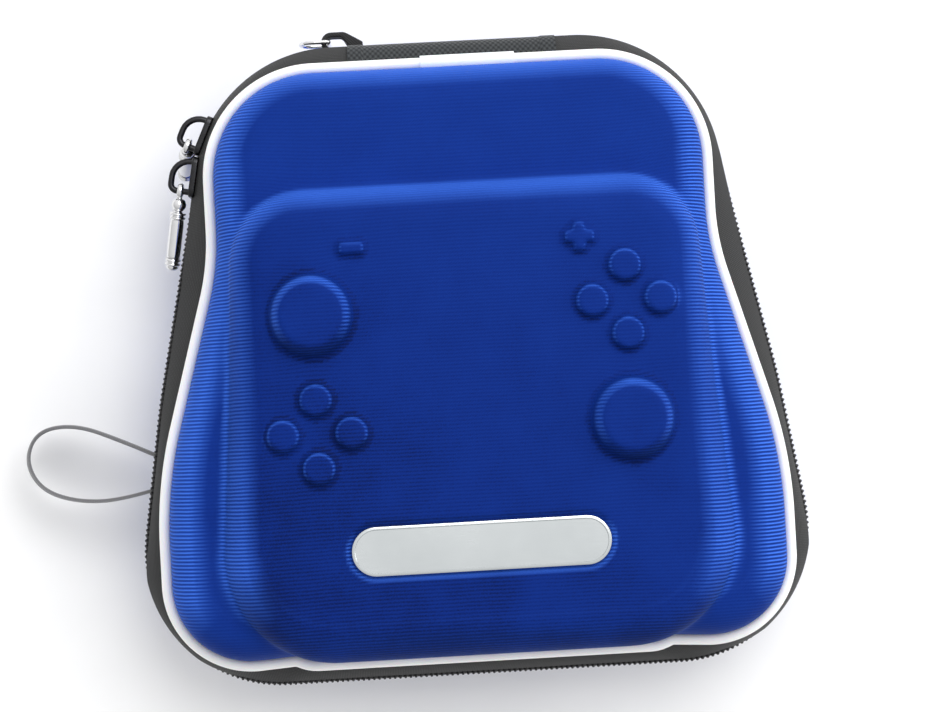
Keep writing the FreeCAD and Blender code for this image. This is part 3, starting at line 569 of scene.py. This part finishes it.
PANEL = woven("hinge_cloth", (0.005, 0.006, 0.008), (0.060, 0.066, 0.070), 1.3, 1.3, 0.8, 0.16,
              crossed=True)
COIL = plastic("nylon_coil", (0.008, 0.008, 0.009), (0.020, 0.020, 0.021), (0.25, 0.45), (900.0, 0.015))
BLACK_METAL = metal("black_metal", (0.020, 0.020, 0.022), (0.060, 0.060, 0.064), (0.22, 0.48))
CHROME = metal("bright_metal", (0.70, 0.70, 0.71), (0.86, 0.86, 0.87), (0.05, 0.20), (900.0, 0.006))
PLATE = brushed("plate_metal", (0.56, 0.59, 0.60), (0.64, 0.67, 0.68), (0.16, 0.34))
WEBBING = woven("black_webbing", (0.006, 0.006, 0.007), (0.035, 0.035, 0.037), 0.7, 0.7, 0.5, 0.12)
RIBBON = woven("grey_ribbon", (0.10, 0.10, 0.105), (0.30, 0.30, 0.31), 0.45, 0.8, 0.0, 0.06, (0.5, 0.75))
BINDING = woven("binding_tape", (0.008, 0.008, 0.009), (0.040, 0.040, 0.042), 0.6, 1.2, 0.0, 0.08)
MESH = woven("pocket_mesh", (0.004, 0.004, 0.005), (0.050, 0.050, 0.054), 1.3, 1.3, 0.0, 0.30)
ELASTIC = woven("elastic", (0.008, 0.008, 0.009), (0.050, 0.050, 0.053), 0.8, 2.4, 0.0, 0.18)


# Camera, set from the photograph

IMAGE_WIDTH = 950
FOCAL_PIXELS = 2390.8
CAMERA_PLACE = Vector((-15.19, -9.11, 613.5))
CAMERA_TURNS = (("X", 0.0150), ("Y", -0.0290), ("Z", -0.0547))


def make_camera():
    """Camera that sees the case as the photograph does."""
    data = bpy.data.cameras.new("camera")
    data.sensor_width = 36.0
    data.lens = data.sensor_width * FOCAL_PIXELS / IMAGE_WIDTH
    data.clip_start = 0.01
    data.clip_end = 20.0
    camera = placed("camera", data)
    stand = Matrix.Translation(CAMERA_PLACE * MM)
    for axis, angle in CAMERA_TURNS:
        stand = stand @ Matrix.Rotation(angle, 4, axis)
    camera.matrix_world = stand
    bpy.context.scene.camera = camera


make_camera()


# Ribbon loop, a free ribbon that goes back into the seam

RIBBON_ROUTE = [
    (-75.5, -21.8, 19.0),
    (-86.5, -16.4, 17.8),
    (-98.5, -11.8, 14.5),
    (-108.3, -13.0, 11.5),
    (-111.8, -20.2, 10.5),
    (-108.4, -27.4, 10.8),
    (-99.5, -31.0, 12.8),
    (-87.5, -31.2, 16.2),
    (-76.8, -28.4, 18.5),
]
RIBBON_WIDTH = 9.0
RIBBON_THICKNESS = 0.8
RIBBON_EDGE = 0.3
# The ribbon stands on edge, and its width leans towards this place above the case
RIBBON_LEANS_TO = (0.0, 0.0, 600.0)


def route_points(route):
    """Points in mm along the NURBS spline of a route."""
    data = bpy.data.curves.new("route", "CURVE")
    data.dimensions = "3D"
    spline = data.splines.new("NURBS")
    spline.points.add(len(route) - 1)
    for point, place in zip(spline.points, route):
        point.co = (*(Vector(place) * MM), 1.0)
    spline.order_u = 3
    spline.use_endpoint_u = True
    data.resolution_u = 16
    line = placed("route", data)
    mesh = bpy.data.meshes.new_from_object(line)
    points = np.array([v.co for v in mesh.vertices]) / MM
    bpy.data.objects.remove(line)
    return points


def ribbon_loop():
    """Ribbon with both ends in the seam."""
    path = route_points(RIBBON_ROUTE)
    ahead = unit(np.gradient(path, axis=0))
    across = unit(np.cross(ahead, np.array(RIBBON_LEANS_TO) - path))
    up = np.cross(across, ahead)
    section = soft_bar(RIBBON_THICKNESS, RIBBON_WIDTH, RIBBON_EDGE)
    loop = sweep("ribbon_loop", path, across, up, section, body="base", stands_for=("side_loop",),
                 finish=(RIBBON, "grey_ribbon"))


ribbon_loop()


# Cloth over the two moulded shells

TRAY_DRAFT = 4.0
TRAY_SHOULDER = 9.0
TRAY_INNER_SHOULDER = 8.0
BULGE_DRAFT = 2.0
BULGE_SHOULDER = 8.5
BULGE_INNER_DRAFT = 3.0
BULGE_INNER_SHOULDER = 5.5
BASE_DRAFT = 5.0
BASE_SHOULDER = 10.0
# How far a control goes down into the raised form
ROOT = 3.0
RECESS_DEPTH = 0.7
RECESS_REACH = 1.3
RECESS_SLOPE = 1.1
PLATE_SURROUND = 3
STICK_SURROUND = 11
RIM_MARGIN = 0.4
LID_VOXEL = 0.6
BASE_VOXEL = 0.9
COARSE_VOXEL = 1.3


def moulding(corners, bottom, top, draft, shoulder, inset=0.0, swell=0.0):
    """Drafted block with a rounded upper edge; its wall may swell a little, as foam does."""
    slope = math.radians(draft)
    centre = top - shoulder
    wall = centre - bottom
    centre_inset = inset + wall * math.tan(slope) + shoulder / math.cos(slope)
    levels = []
    for share in np.linspace(0, 1, 7)[:-1]:
        out = swell * math.sin(math.pi * share ** 0.7)
        levels.append((inset + wall * share * math.tan(slope) - out, bottom + wall * share))
    for angle in np.linspace(slope, math.pi / 2, 14):
        levels.append((centre_inset - shoulder * math.cos(angle), centre + shoulder * math.sin(angle)))
    return stacked([(outline(corners, depth, divided=False), height) for depth, height in levels])


def dome(x, y, foot, top, height, edge):
    """Round control with a softened edge, rooted in the raised form."""
    crown = BULGE_TOP + height
    profile = [(foot + 0.4, BULGE_TOP - ROOT), (foot, BULGE_TOP), (top + edge * 0.2, crown - edge)]
    for angle in np.linspace(0.3, math.pi / 2, 6):
        profile.append((top - edge * (1 - math.cos(angle)), crown - edge * (1 - math.sin(angle))))
    ring = circle(1.0, 48)
    return stacked([(ring * radius + (x, y), z) for radius, z in profile])


def bar(x, y, length, width):
    """Bar of a minus or a plus."""
    corner = np.array(((1, 1), (1, -1), (-1, -1), (-1, 1)))
    levels = ((0.2, BULGE_TOP - ROOT), (0.0, BULGE_TOP + 0.9), (-0.5, BULGE_TOP + 1.4))
    half = np.array((length, width)) / 2
    return stacked([(corner * (half + grow) + (x, y), z) for grow, z in levels])


def lid_forms():
    """The tray that fills the lid's outline and the raised form of a controller."""
    return [
        moulding(TRAY_CORNERS, LID_RIM, TRAY_TOP, TRAY_DRAFT, TRAY_SHOULDER, swell=0.5),
        moulding(BULGE_CORNERS, LID_RIM, BULGE_TOP, BULGE_DRAFT, BULGE_SHOULDER, swell=0.8),
    ]


def controls():
    """Sticks, buttons, minus and plus that stand out from the raised form."""
    forms = [dome(x, y, foot=9.95, top=8.3, height=5.0, edge=1.8) for x, y in STICK_PLACES]
    for x, y in BUTTON_CENTRES:
        for turn in range(4):
            dx = BUTTON_SPACING * math.cos(turn * math.pi / 2)
            dy = BUTTON_SPACING * math.sin(turn * math.pi / 2)
            forms.append(dome(x + dx, y + dy, foot=3.9, top=3.5, height=1.9, edge=0.6))
    forms.append(bar(-SIGN_COLUMN, SIGN_ROW, MINUS_LENGTH, SIGN_WIDTH))
    forms.append(bar(SIGN_COLUMN, SIGN_ROW, PLUS_LENGTH, SIGN_WIDTH))
    forms.append(bar(SIGN_COLUMN, SIGN_ROW, SIGN_WIDTH, PLUS_LENGTH))
    return forms


def lid_hollows():
    """Hollows of the two forms, with tighter shoulders than outside."""
    return [
        moulding(TRAY_CORNERS, LID_RIM, TRAY_TOP - WALL, TRAY_DRAFT, TRAY_INNER_SHOULDER - WALL, WALL),
        moulding(BULGE_CORNERS, LID_RIM, BULGE_TOP - WALL, BULGE_INNER_DRAFT,
                 BULGE_INNER_SHOULDER - WALL, WALL),
    ]


def turned_over(loops):
    """The base is moulded rim down and then turned over."""
    return loops * (1, 1, -1) + (0, 0, BASE_RIM)


def within(points, ring):
    """Which points of the plan lie inside a ring."""
    ahead = np.roll(ring, -1, 0)
    crossings = np.zeros(len(points), int)
    for (x0, y0), (x1, y1) in zip(ring, ahead):
        if y0 != y1:
            straddles = (points[:, 1] < y0) != (points[:, 1] < y1)
            crossings += straddles & (points[:, 0] < x0 + (points[:, 1] - y0) * (x1 - x0) / (y1 - y0))
    return crossings % 2 == 1


def without(obj, unwanted):
    """The object's mesh with some faces taken out; unwanted gets centres in mm and normals."""
    shaped = bmesh.new()
    shaped.from_mesh(obj.data)
    centres = np.array([f.calc_center_median() for f in shaped.faces]) / MM
    normals = np.array([f.normal for f in shaped.faces])
    drop = unwanted(centres, normals)
    bmesh.ops.delete(shaped, geom=[f for f, gone in zip(list(shaped.faces), drop) if gone], context="FACES")
    shaped.to_mesh(obj.data)
    shaped.free()
    obj.data.shade_smooth()


def plate_recess(obj):
    """Press the cloth down where the plate is let in."""
    points = mesh_arrays(obj)[0]
    along = np.maximum(np.abs(points[:, 0]) - (PLATE_HALF - PLATE_HALF_WIDTH), 0)
    away = np.hypot(along, points[:, 1] - PLATE_ROW) - PLATE_HALF_WIDTH
    share = np.clip((RECESS_REACH - away) / RECESS_SLOPE, 0, 1)
    near_top = points[:, 2] > BULGE_TOP - 0.5
    points[:, 2] -= RECESS_DEPTH * share ** 2 * (3 - 2 * share) * near_top
    move_points(obj, points)


def stretch_and_painted_light(points, normals):
    """How far the knit is drawn down a flank at each point, which also sets a painted sheen there; how far
    that opens its ribs, with painted light from the right; and painted shade.
    """
    x, y, z = points.T
    slope = np.sqrt(np.clip(1 - normals[:, 2] ** 2, 0, 1))
    sideways, hingewards = (normals[:, :2] / np.maximum(slope, 0.05)[:, None]).T
    hinge = np.clip(hingewards, 0, 1)
    above = z - BULGE_TOP
    control = above > 0.02
    raised = np.clip((z - TRAY_TOP) / 2, 0, 1)
    # Slope at which the knit starts to open and the painted sheen starts: early at the grip end, late on
    # what faces the hinge
    start = np.interp(y, (-45, 5, 30), (0.0, 0.03, 0.15)) * (1 - hinge) + 0.4 * hinge
    start += raised * (1 - hinge) * np.interp(y, (-45, -10, 20), (0.0, 0.12, 0.25))
    beside_plate = np.abs(x) < PLATE_HALF + PLATE_SURROUND
    beside_plate &= np.abs(y - PLATE_ROW) < PLATE_HALF_WIDTH + PLATE_SURROUND
    start = np.where(control, 0.42, np.where(beside_plate & (above > -1), 0.1, start))
    stretch_and_painted_sheen = np.clip((slope - start) / (0.42 + 0.15 * hinge), 0, 1)
    # Less painted sheen on what turns towards the grip end, away from the light
    stretch_and_painted_sheen *= np.clip((hingewards + 0.75) / 0.6, 0.05, 1)
    # The raised form's sides are drawn less than the tray's and get less painted sheen, and the controls
    # only near their tops
    stretch_and_painted_sheen *= 1 - raised * np.abs(sideways) * np.interp(y, (-45, -10, 20, 32), (0.2, 0.6, 0.4, 0.0))
    from_stick = np.min([np.hypot(x - column, y - row) for column, row in STICK_PLACES], 0)
    crown = np.where(from_stick < STICK_SURROUND, (above - 1.6) / 1.4, (above - 0.6) / 0.7)
    stretch_and_painted_sheen *= np.where(control, np.clip(crown, 0, 1), 1)
    # Rib contrast: more on the right-facing sides than on the left ones, painted light from the right
    ribs_opened_and_painted_light = 0.15 + np.abs(sideways) * np.where(sideways > 0, 0.85, 0.6)
    # Painted shade: the raised form is darker towards the grip end and the left, and so is what faces the
    # grip end and the lowest part of each control
    weave_tone_and_painted_shade = 1 - raised * (1 - np.interp(y, (-60, 40), (0.1, 0.7)) - 0.25 * x / 55)
    weave_tone_and_painted_shade -= 0.7 * slope * np.clip(-hingewards, 0, 1) + 0.4 * (control & (above < 0.7))
    return stretch_and_painted_sheen, ribs_opened_and_painted_light, np.clip(weave_tone_and_painted_shade, -0.2, 1)


def shell(body, node, forms, details, hollows, rim, side, rim_ring):
    """Cloth outside and lining inside of one half; side is +1 for the lid, -1 for the base."""
    fine = LID_VOXEL if side > 0 else BASE_VOXEL
    cloth = piece(body + "_cloth", *joined([skin(form) for form in forms]))
    softened(cloth, fine, 14)
    if details:
        # The controls are pressed in more crisply than the forms that carry them
        points = mesh_arrays(cloth)[0]
        faces = [list(face.vertices) for face in cloth.data.polygons]
        bpy.data.objects.remove(cloth)
        cloth = piece(body + "_cloth", *joined([(points, faces)] + [skin(form) for form in details]))
        softened(cloth, fine, 3)

    def at_rim(centres, normals, reach):
        return (side * (centres[:, 2] - rim) < reach) & (side * normals[:, 2] < -0.3)

    def cloth_opening(centres, normals):
        return at_rim(centres, normals, fine) & within(centres[:, :2], rim_ring)

    def lining_opening(centres, normals):
        return at_rim(centres, normals, COARSE_VOXEL)

    without(cloth, cloth_opening)
    lining = piece(body + "_lining", *joined([skin(form) for form in hollows]))
    softened(lining, COARSE_VOXEL, 3)
    without(lining, lining_opening)
    lining.data.flip_normals()
    if side > 0:
        plate_recess(cloth)
    dress(cloth, body, (node,), (BLUE, "blue_cloth"))
    dress(lining, body)
    lining.data.materials.append(LINING)
    for layer in (cloth, lining):
        points, normals, _ = mesh_arrays(layer)
        put(layer, "rib", cloth_coordinate(layer, (0, 1, 0)))
        put(layer, "thread", points[:, 0])
        # Painted sheen on the flanks, rib contrast with painted light from the right, and painted shade,
        # stored for the cloth
        for name, values in zip(("stretch_and_painted_sheen", "ribs_opened_and_painted_light", "weave_tone_and_painted_shade"), stretch_and_painted_light(points, normals)):
            put(layer, name, values)


base_form = moulding(ZIP_CORNERS, 0, BASE_RIM, BASE_DRAFT, BASE_SHOULDER, BASE_INSET)
base_hollow = moulding(ZIP_CORNERS, 0, BASE_RIM - WALL, BASE_DRAFT, BASE_SHOULDER - WALL, BASE_INSET + WALL)
shell("lid", "lid_shell", lid_forms(), controls(), lid_hollows(), LID_RIM, 1,
      outline(RIM_CORNERS, WALL + RIM_MARGIN))
shell("base", "base_shell", [turned_over(base_form)], [], [turned_over(base_hollow)], BASE_RIM, -1,
      outline(ZIP_CORNERS, BASE_INSET + WALL + RIM_MARGIN))


# Piping

def piping(name, corners, inset, height, body):
    """White bead along a rim's seam."""
    path, out, up = level(outline(corners, inset - PIPING_RADIUS - SEAT), height)
    sweep(name + "_bead", path, out, up, circle(PIPING_RADIUS, 20), True, body=body, stands_for=(name,),
          finish=(WHITE, "white_piping"))


piping("lid_piping", RIM_CORNERS, 0.0, LID_RIM + PIPING_RADIUS, "lid")
piping("base_piping", ZIP_CORNERS, BASE_INSET, BASE_RIM - PIPING_RADIUS, "base")
dress(NODES["lid_piping_sleeve"], finish=(WHITE, "white_piping"))


# Zip: tapes and coils

TAPE_TUCK = 1.2
COIL_WIRE = 0.3


def tape(name, rim, rim_height, side, body):
    """Bowed tape from under the piping to behind the coil row; side is +1 for the lid, -1 for the base."""
    count = 620
    rows = 7
    seam = rim_height - side * SEAT
    coil_edge = ZIP_PLANE + side * (ROW_GAP + COIL_HEIGHT + 0.1)
    corners, inset = rim
    # The lid's tape leaves its coil in sight, and the base's tape backs both rows
    behind = 1.0 if side > 0 else 0.3
    strips = []
    for layer, bow in ((0.0, 0.45), (TAPE_THICKNESS, 0.35)):
        top = open_outline(outline(corners, inset - TAPE_TUCK + layer), ZIP_END, count)
        low = open_outline(outline(ZIP_CORNERS, behind + layer), ZIP_END, count)
        far = open_outline(outline(ZIP_CORNERS, layer - 0.1), ZIP_END, count)
        # Near the hinge and round the grip end's corners the tape hides the coil
        hinge = np.clip((low[:, 1] - 20) / 25, 0, 1)
        corner = np.clip((np.abs(low[:, 0]) - 58) / 10, 0, 1) * np.clip((-42 - low[:, 1]) / 8, 0, 1)
        low += (far - low) * np.maximum(hinge, corner)[:, None]
        top = at_height(top, seam)
        low = at_height(low, coil_edge)
        fall = unit(low - top)
        ahead = unit(np.gradient(low, axis=0))
        out = unit(np.cross(fall, ahead)) * side
        out *= np.sign(np.einsum("ij,ij->i", out[:, :2], low[:, :2]))[:, None]
        for share in np.linspace(0, 1, rows) if layer == 0 else np.linspace(1, 0, rows):
            strips.append(top + (low - top) * share + out * bow * math.sin(math.pi * share))
    rings(name + "_cloth", np.stack(strips, 1), body=body, stands_for=(name,), finish=(TAPE, "zip_tape"))


tape("lid_zip_tape", (RIM_CORNERS, 0.0), LID_RIM, 1, "lid")
tape("base_zip_tape", (ZIP_CORNERS, BASE_INSET), BASE_RIM, -1, "base")


def coil(name, side, body):
    """Spiral of nylon along one zip row."""
    line = open_outline(outline(ZIP_CORNERS, COIL_WIDTH / 2), ZIP_END, 2400)
    far = lengths(line)
    per_turn = 12
    turns = int(far[-1] / COIL_PITCH)
    spots = np.linspace(0, turns * COIL_PITCH, turns * per_turn + 1)
    centre = np.column_stack([np.interp(spots, far, line[:, k]) for k in (0, 1)])
    ahead = unit(np.gradient(centre, axis=0))
    out = np.column_stack((ahead[:, 1], -ahead[:, 0]))
    out *= np.sign(np.einsum("ij,ij->i", out, centre))[:, None]
    ahead = at_height(ahead, 0.0)
    out = at_height(out, 0.0)
    angle = 2 * math.pi * spots / COIL_PITCH + (math.pi if side > 0 else 0)
    height = ZIP_PLANE + side * (ROW_GAP + COIL_HEIGHT / 2)
    path = at_height(centre, height) + out * (np.cos(angle) * (COIL_WIDTH / 2 - COIL_WIRE))[:, None]
    path[:, 2] += np.sin(angle) * (COIL_HEIGHT / 2 - COIL_WIRE)
    run = unit(np.gradient(path, axis=0))
    across = unit(ahead - run * np.einsum("ij,ij->i", ahead, run)[:, None])
    sweep(name + "_spiral", path, across, np.cross(run, across), circle(COIL_WIRE, 6), body=body,
          stands_for=(name,), finish=(COIL, "nylon_coil"))


coil("lid_zip_coil", 1, "lid")
coil("base_zip_coil", -1, "base")


# Hinge panel, bent out round the hinge

PANEL_CENTRE = 70.788
PANEL_RADIUS = 6.212
PANEL_THICKNESS = 1.2
HEM_WIDTH = 4
HEM_RISE = 0.18


def hinge_arc(x, radius, angles):
    """Points of the bent panel in the plane across it at x."""
    return [(x, PANEL_CENTRE + radius * math.cos(a), ZIP_PLANE + radius * math.sin(a)) for a in angles]


def hinge_panel():
    """Panel from the base's rim to the lid's, bent out round the hinge."""
    rise = LID_RIM - ZIP_PLANE - 0.3
    half_angle = math.asin(rise / PANEL_RADIUS)
    angles = np.linspace(-half_angle, half_angle, 25)
    rows = np.concatenate((
        np.linspace(-PANEL_HALF, -PANEL_HALF + HEM_WIDTH, 14),
        np.linspace(-20, 20, 60),
        np.linspace(PANEL_HALF - HEM_WIDTH, PANEL_HALF, 14),
    ))
    loops = []
    for x in rows:
        # Folded hems are a little prouder than the middle
        hem = HEM_RISE * max(0.0, min(1.0, (abs(x) - PANEL_HALF + 3.9) / 0.5))
        outer = hinge_arc(x, PANEL_RADIUS + hem - 0.1, angles)
        inner = hinge_arc(x, PANEL_RADIUS - PANEL_THICKNESS, angles[::-1])
        loops.append(outer + inner)
    panel = rings("hinge_cloth", np.array(loops), stands_for=("hinge_panel",),
                  finish=(PANEL, "black_webbing"))
    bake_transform(panel)


hinge_panel()


# Sliders, pulls, ring and plate

for slider in ("upper_slider", "lower_slider"):
    from_node(slider + "_cast", slider, voxel=0.16, passes=3, grown=0.18, body=slider,
              finish=(BLACK_METAL, "black_metal"))


PULL_BALL = 1.8
PULL_BALL_PLACE = 3.4
PULL_NECK = 1.55
PULL_RIDGE = 0.45
PULL_BARREL = 1.75
PULL_BARREL_LENGTH = 9.5
PULL_RIDGES_LENGTH = 2.0
PULL_END = 1.1
EYE_RADIUS = 1.5
# Eye in mm, way outward and droop in degrees of each pull
PULLS = {
    "lower_pull": ((-67.739, 43.668, 30.0), 169.521, 12.0),
    "upper_pull": ((-65.451, 54.519, 30.0), 155.519, 72.0),
}


def spun(profile, sides=40):
    """Points and faces of a profile of (radius, distance) turned about Y."""
    ring = circle(1.0, sides)
    points = [(radius * c, y, radius * s) for radius, y in profile for c, s in ring]
    faces = []
    for i in range(len(profile) - 1):
        for j in range(sides):
            k = (j + 1) % sides
            faces.append((i * sides + j, i * sides + k, (i + 1) * sides + k, (i + 1) * sides + j))
    return np.array(points), faces


def pull_profile():
    """Ball, two ridges, barrel, two ridges and a rounded end, as (radius, distance from the eye)."""
    profile = []
    for a in np.linspace(0.02, math.pi * 0.86, 22):
        profile.append((PULL_BALL * math.sin(a), PULL_BALL_PLACE - PULL_BALL * math.cos(a)))
    along = PULL_BALL_PLACE + PULL_BALL

    def ridges(start):
        for i in range(2):
            middle = start + 0.35 + i
            for a in np.linspace(-1, 1, 9):
                profile.append((PULL_NECK + PULL_RIDGE * math.sqrt(1 - a * a), middle + 0.36 * a))

    ridges(along)
    along += PULL_RIDGES_LENGTH
    for s in np.linspace(-1, 1, 15):
        profile.append((PULL_BARREL - 0.12 * abs(s) ** 6, along + PULL_BARREL_LENGTH * (s + 1) / 2))
    ridges(along + PULL_BARREL_LENGTH)
    along += PULL_BARREL_LENGTH + PULL_RIDGES_LENGTH
    for a in np.linspace(0, math.pi / 2 - 0.02, 9):
        profile.append((PULL_NECK * math.cos(a), along + PULL_END * math.sin(a)))
    return profile


def zip_pull(name, eye, outward, droop):
    """Turned pull that hangs from a bail by its eye."""
    turn = math.radians(outward)
    fall = math.radians(droop)
    out = np.array((math.cos(turn), math.sin(turn), 0.0))
    down = np.array((-math.sin(turn) * math.cos(fall), math.cos(turn) * math.cos(fall), -math.sin(fall)))
    axes = np.stack((out, down, np.cross(out, down)))
    ring = circle(EYE_RADIUS, 36)
    path = np.column_stack((np.zeros(len(ring)), ring))
    ring_up = np.tile((1.0, 0.0, 0.0), (len(ring), 1))
    eyelet = carried(path, unit(path), ring_up, soft_bar(0.95, 1.35, 0.4, 4))
    points, faces = joined([spun(pull_profile()), skin(eyelet, True)])
    piece(name + "_turned", points @ axes + np.array(eye), faces, body=name, stands_for=(name,),
          finish=(CHROME, "bright_metal"))


for pull, hang in PULLS.items():
    zip_pull(pull, *hang)

RING_PLACE = np.array((-29.8, 78.587, 24.2))
RING_LENGTH = 7
RING_HALF = 3.5
RING_BEND = 3.325
RING_CORNER = 0.9
RING_WIRE = 0.5


def carry_ring():
    """Wire ring, straight where it sits in its tab and round at the far end."""
    at_tab = [(0, RING_HALF, RING_CORNER), (0, -RING_HALF, RING_CORNER)]
    far_end = [(-RING_LENGTH, -RING_HALF, RING_BEND), (-RING_LENGTH, RING_HALF, RING_BEND)]
    path, out, up = level(outline(at_tab + far_end, step=0.2), 0.0)
    stand = np.array(((1, 0, 0), (0, 0, 1), (0, -1, 0)), float)
    wire = circle(RING_WIRE, 14)
    sweep("carry_ring_wire", path @ stand + RING_PLACE, out @ stand, up @ stand, wire, True,
          body="carry_ring", stands_for=("carry_ring",), finish=(CHROME, "bright_metal"))


carry_ring()
tab = from_node("ring_tab_webbing", "ring_tab", voxel=0.22, passes=3, body="base",
                finish=(WEBBING, "black_webbing"))
tab_points = mesh_arrays(tab)[0]
put(tab, "along", tab_points[:, 0] + tab_points[:, 1])
put(tab, "across", tab_points[:, 2])


def name_plate():
    """Bare plate with a rounded edge and a narrow raised border."""
    low, high = (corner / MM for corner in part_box("name_plate"))
    bend = (high.y - low.y) / 2 - 0.01
    corners = [(low.x, high.y, bend), (high.x, high.y, bend), (high.x, low.y, bend), (low.x, low.y, bend)]
    top = high.z
    edge = [(0.0, low.z), (0.0, top - 0.30), (0.10, top - 0.10)]
    border = [(0.30, top), (0.70, top), (0.85, top - 0.16)]
    loops = stacked([(outline(corners, inset, 0.4, False), height) for inset, height in edge + border])
    piece("name_plate_polished", *skin(loops), sharp=35, body="lid", stands_for=("name_plate",),
          finish=(PLATE, "plate_metal"))


name_plate()


# Inside

LID_INSIDE = 4.42
BASE_INSIDE = 9.025
BINDING_GAP = 0.3
BINDING_HALF = 0.4
BINDING_DEPTH = 6.0
POCKET_INSET = 4.764
POCKET_ROWS = (25.0, 31.0, 64.3)
POCKET_CORNER_ROW = 64.2
STRAP_ROWS = (-22.5, 2.5)
STRAP_INSET = BASE_INSIDE + 0.8 + 0.6


def binding(name, corners, inset, rim, side, reach, body):
    """Tape folded over the raw rim: down the inside wall, and out across the rim to the zip tape."""
    path, out, up = level(outline(corners, inset), rim)
    wall = [(BINDING_HALF, BINDING_DEPTH), (-BINDING_HALF, BINDING_DEPTH), (-BINDING_HALF, -0.25)]
    over = [(-0.2, -0.45), (reach, -0.45), (reach, -0.05), (BINDING_HALF, -0.05)]
    fold = np.array(wall + over)
    sweep(name + "_tape", path, out, up * side, fold, True, body=body, stands_for=(name,),
          finish=(BINDING, "binding_tape"))


binding("lid_seam_binding", RIM_CORNERS, LID_INSIDE + BINDING_GAP + BINDING_HALF, LID_RIM, 1,
        reach=5.7, body="lid")
binding("base_seam_binding", ZIP_CORNERS, BASE_INSIDE + BINDING_GAP + BINDING_HALF, BASE_RIM, -1,
        reach=5.8, body="base")


def half_width(points, row):
    """Half width of an outline at one row of y."""
    right = points[points[:, 0] > 0]
    right = right[np.argsort(right[:, 1])]
    return float(np.interp(row, right[:, 1], right[:, 0]))


def band(name, node, rows, half_widths, thickness, sag, body, finish, gather=0.0):
    """Sheet between rows of y, as wide as half_widths; it sags and may gather."""
    low, high = (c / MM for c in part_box(node))
    middle = (low.z + high.z) / 2
    loops = []
    for share in np.linspace(-1, 1, 121):
        fall = sag * (1 - share ** 2) + gather * math.sin(share * 70)
        top = []
        under = []
        for y, half in zip(rows, half_widths):
            top.append((share * half, y, middle + thickness / 2 - fall))
            under.append((share * half, y, middle - thickness / 2 - fall))
        loops.append(top + under[::-1])
    return rings(name, np.array(loops), body=body, stands_for=(node,), finish=finish)


def inside_pieces():
    """Mesh pocket with its elastic hem in the lid, and the strap across the base."""
    hollow = outline(TRAY_CORNERS, POCKET_INSET)
    hem_edge, net_edge, net_end = POCKET_ROWS
    rows = np.linspace(net_edge, net_end, 24)
    widths = [half_width(hollow, min(y, POCKET_CORNER_ROW)) for y in rows]
    net = band("pocket_net", "mesh_pocket", rows, widths, thickness=0.8, sag=0.6, body="lid",
               finish=(MESH, "pocket_mesh"))
    rows = np.linspace(hem_edge, net_edge, 9)
    widths = [half_width(hollow, y) for y in rows]
    hem = band("pocket_hem_elastic", "pocket_hem", rows, widths, thickness=2.0, sag=0.6, body="lid",
               finish=(ELASTIC, "elastic"), gather=0.12)
    floor = outline(ZIP_CORNERS, STRAP_INSET)
    rows = np.linspace(*STRAP_ROWS, 26)
    widths = [half_width(floor, y) for y in rows]
    strap = band("strap_elastic", "controller_strap", rows, widths, thickness=1.2, sag=1.2, body="base",
                 finish=(ELASTIC, "elastic"))


inside_pieces()


# Floor and light

LIGHT_AIM = Vector((0, 0, 0.03))
TENT_BRIGHTEST = Vector((0.40, 0.70, 0.55)).normalized()
TENT_DARK = (0.36, 0.36, 0.36, 1.0)
TENT_LIGHT = (1.0, 1.0, 1.0, 1.0)
TENT_STRENGTH = 1.15


def stage():
    """Wide floor of pale paper."""
    mesh = bpy.data.meshes.new("floor")
    reach = 3.0
    square = [(-reach, -reach, 0), (reach, -reach, 0), (reach, reach, 0), (-reach, reach, 0)]
    mesh.from_pydata(square, [], [(0, 1, 2, 3)])
    floor = placed("floor", mesh)
    n = Nodes("floor_paper")
    n.colour(n.ramp(n.noise(30.0), (0.3, (0.90, 0.90, 0.90)), (0.7, (0.93, 0.93, 0.93))))
    n.set(Roughness=0.9, Specular_IOR_Level=0.1)
    mesh.materials.append(n.material)


def softbox(name, place, size, power):
    """Round soft light aimed at the case."""
    data = bpy.data.lights.new(name, "AREA")
    data.shape = "DISK"
    data.size = size
    data.energy = power
    lamp = placed(name, data)
    lamp.location = place
    lamp.rotation_mode = "QUATERNION"
    lamp.rotation_quaternion = (LIGHT_AIM - Vector(place)).to_track_quat("-Z", "Y")


def light():
    """Light tent and two softboxes."""
    world = bpy.data.worlds.new("studio")
    world.use_nodes = True
    nodes = world.node_tree.nodes
    links = world.node_tree.links
    # A light tent, brightest towards the hinge end and the right
    towards = nodes.new("ShaderNodeVectorMath")
    towards.operation = "DOT_PRODUCT"
    towards.inputs[1].default_value = TENT_BRIGHTEST
    links.new(nodes.new("ShaderNodeTexCoord").outputs["Generated"], towards.inputs[0])
    spread = nodes.new("ShaderNodeMapRange")
    spread.inputs["From Min"].default_value = -1.0
    links.new(towards.outputs["Value"], spread.inputs["Value"])
    fade = nodes.new("ShaderNodeValToRGB")
    fade.color_ramp.elements[0].color = TENT_DARK
    fade.color_ramp.elements[1].color = TENT_LIGHT
    links.new(spread.outputs["Result"], fade.inputs["Fac"])
    links.new(fade.outputs["Color"], nodes["Background"].inputs["Color"])
    nodes["Background"].inputs["Strength"].default_value = TENT_STRENGTH
    bpy.context.scene.world = world
    softbox("key", (0.35, 0.6, 1.15), size=1.0, power=8.5)
    softbox("right", (1.0, 0.1, 0.4), size=0.5, power=1.8)
    bpy.context.scene.view_settings.view_transform = "Standard"


stage()
light()
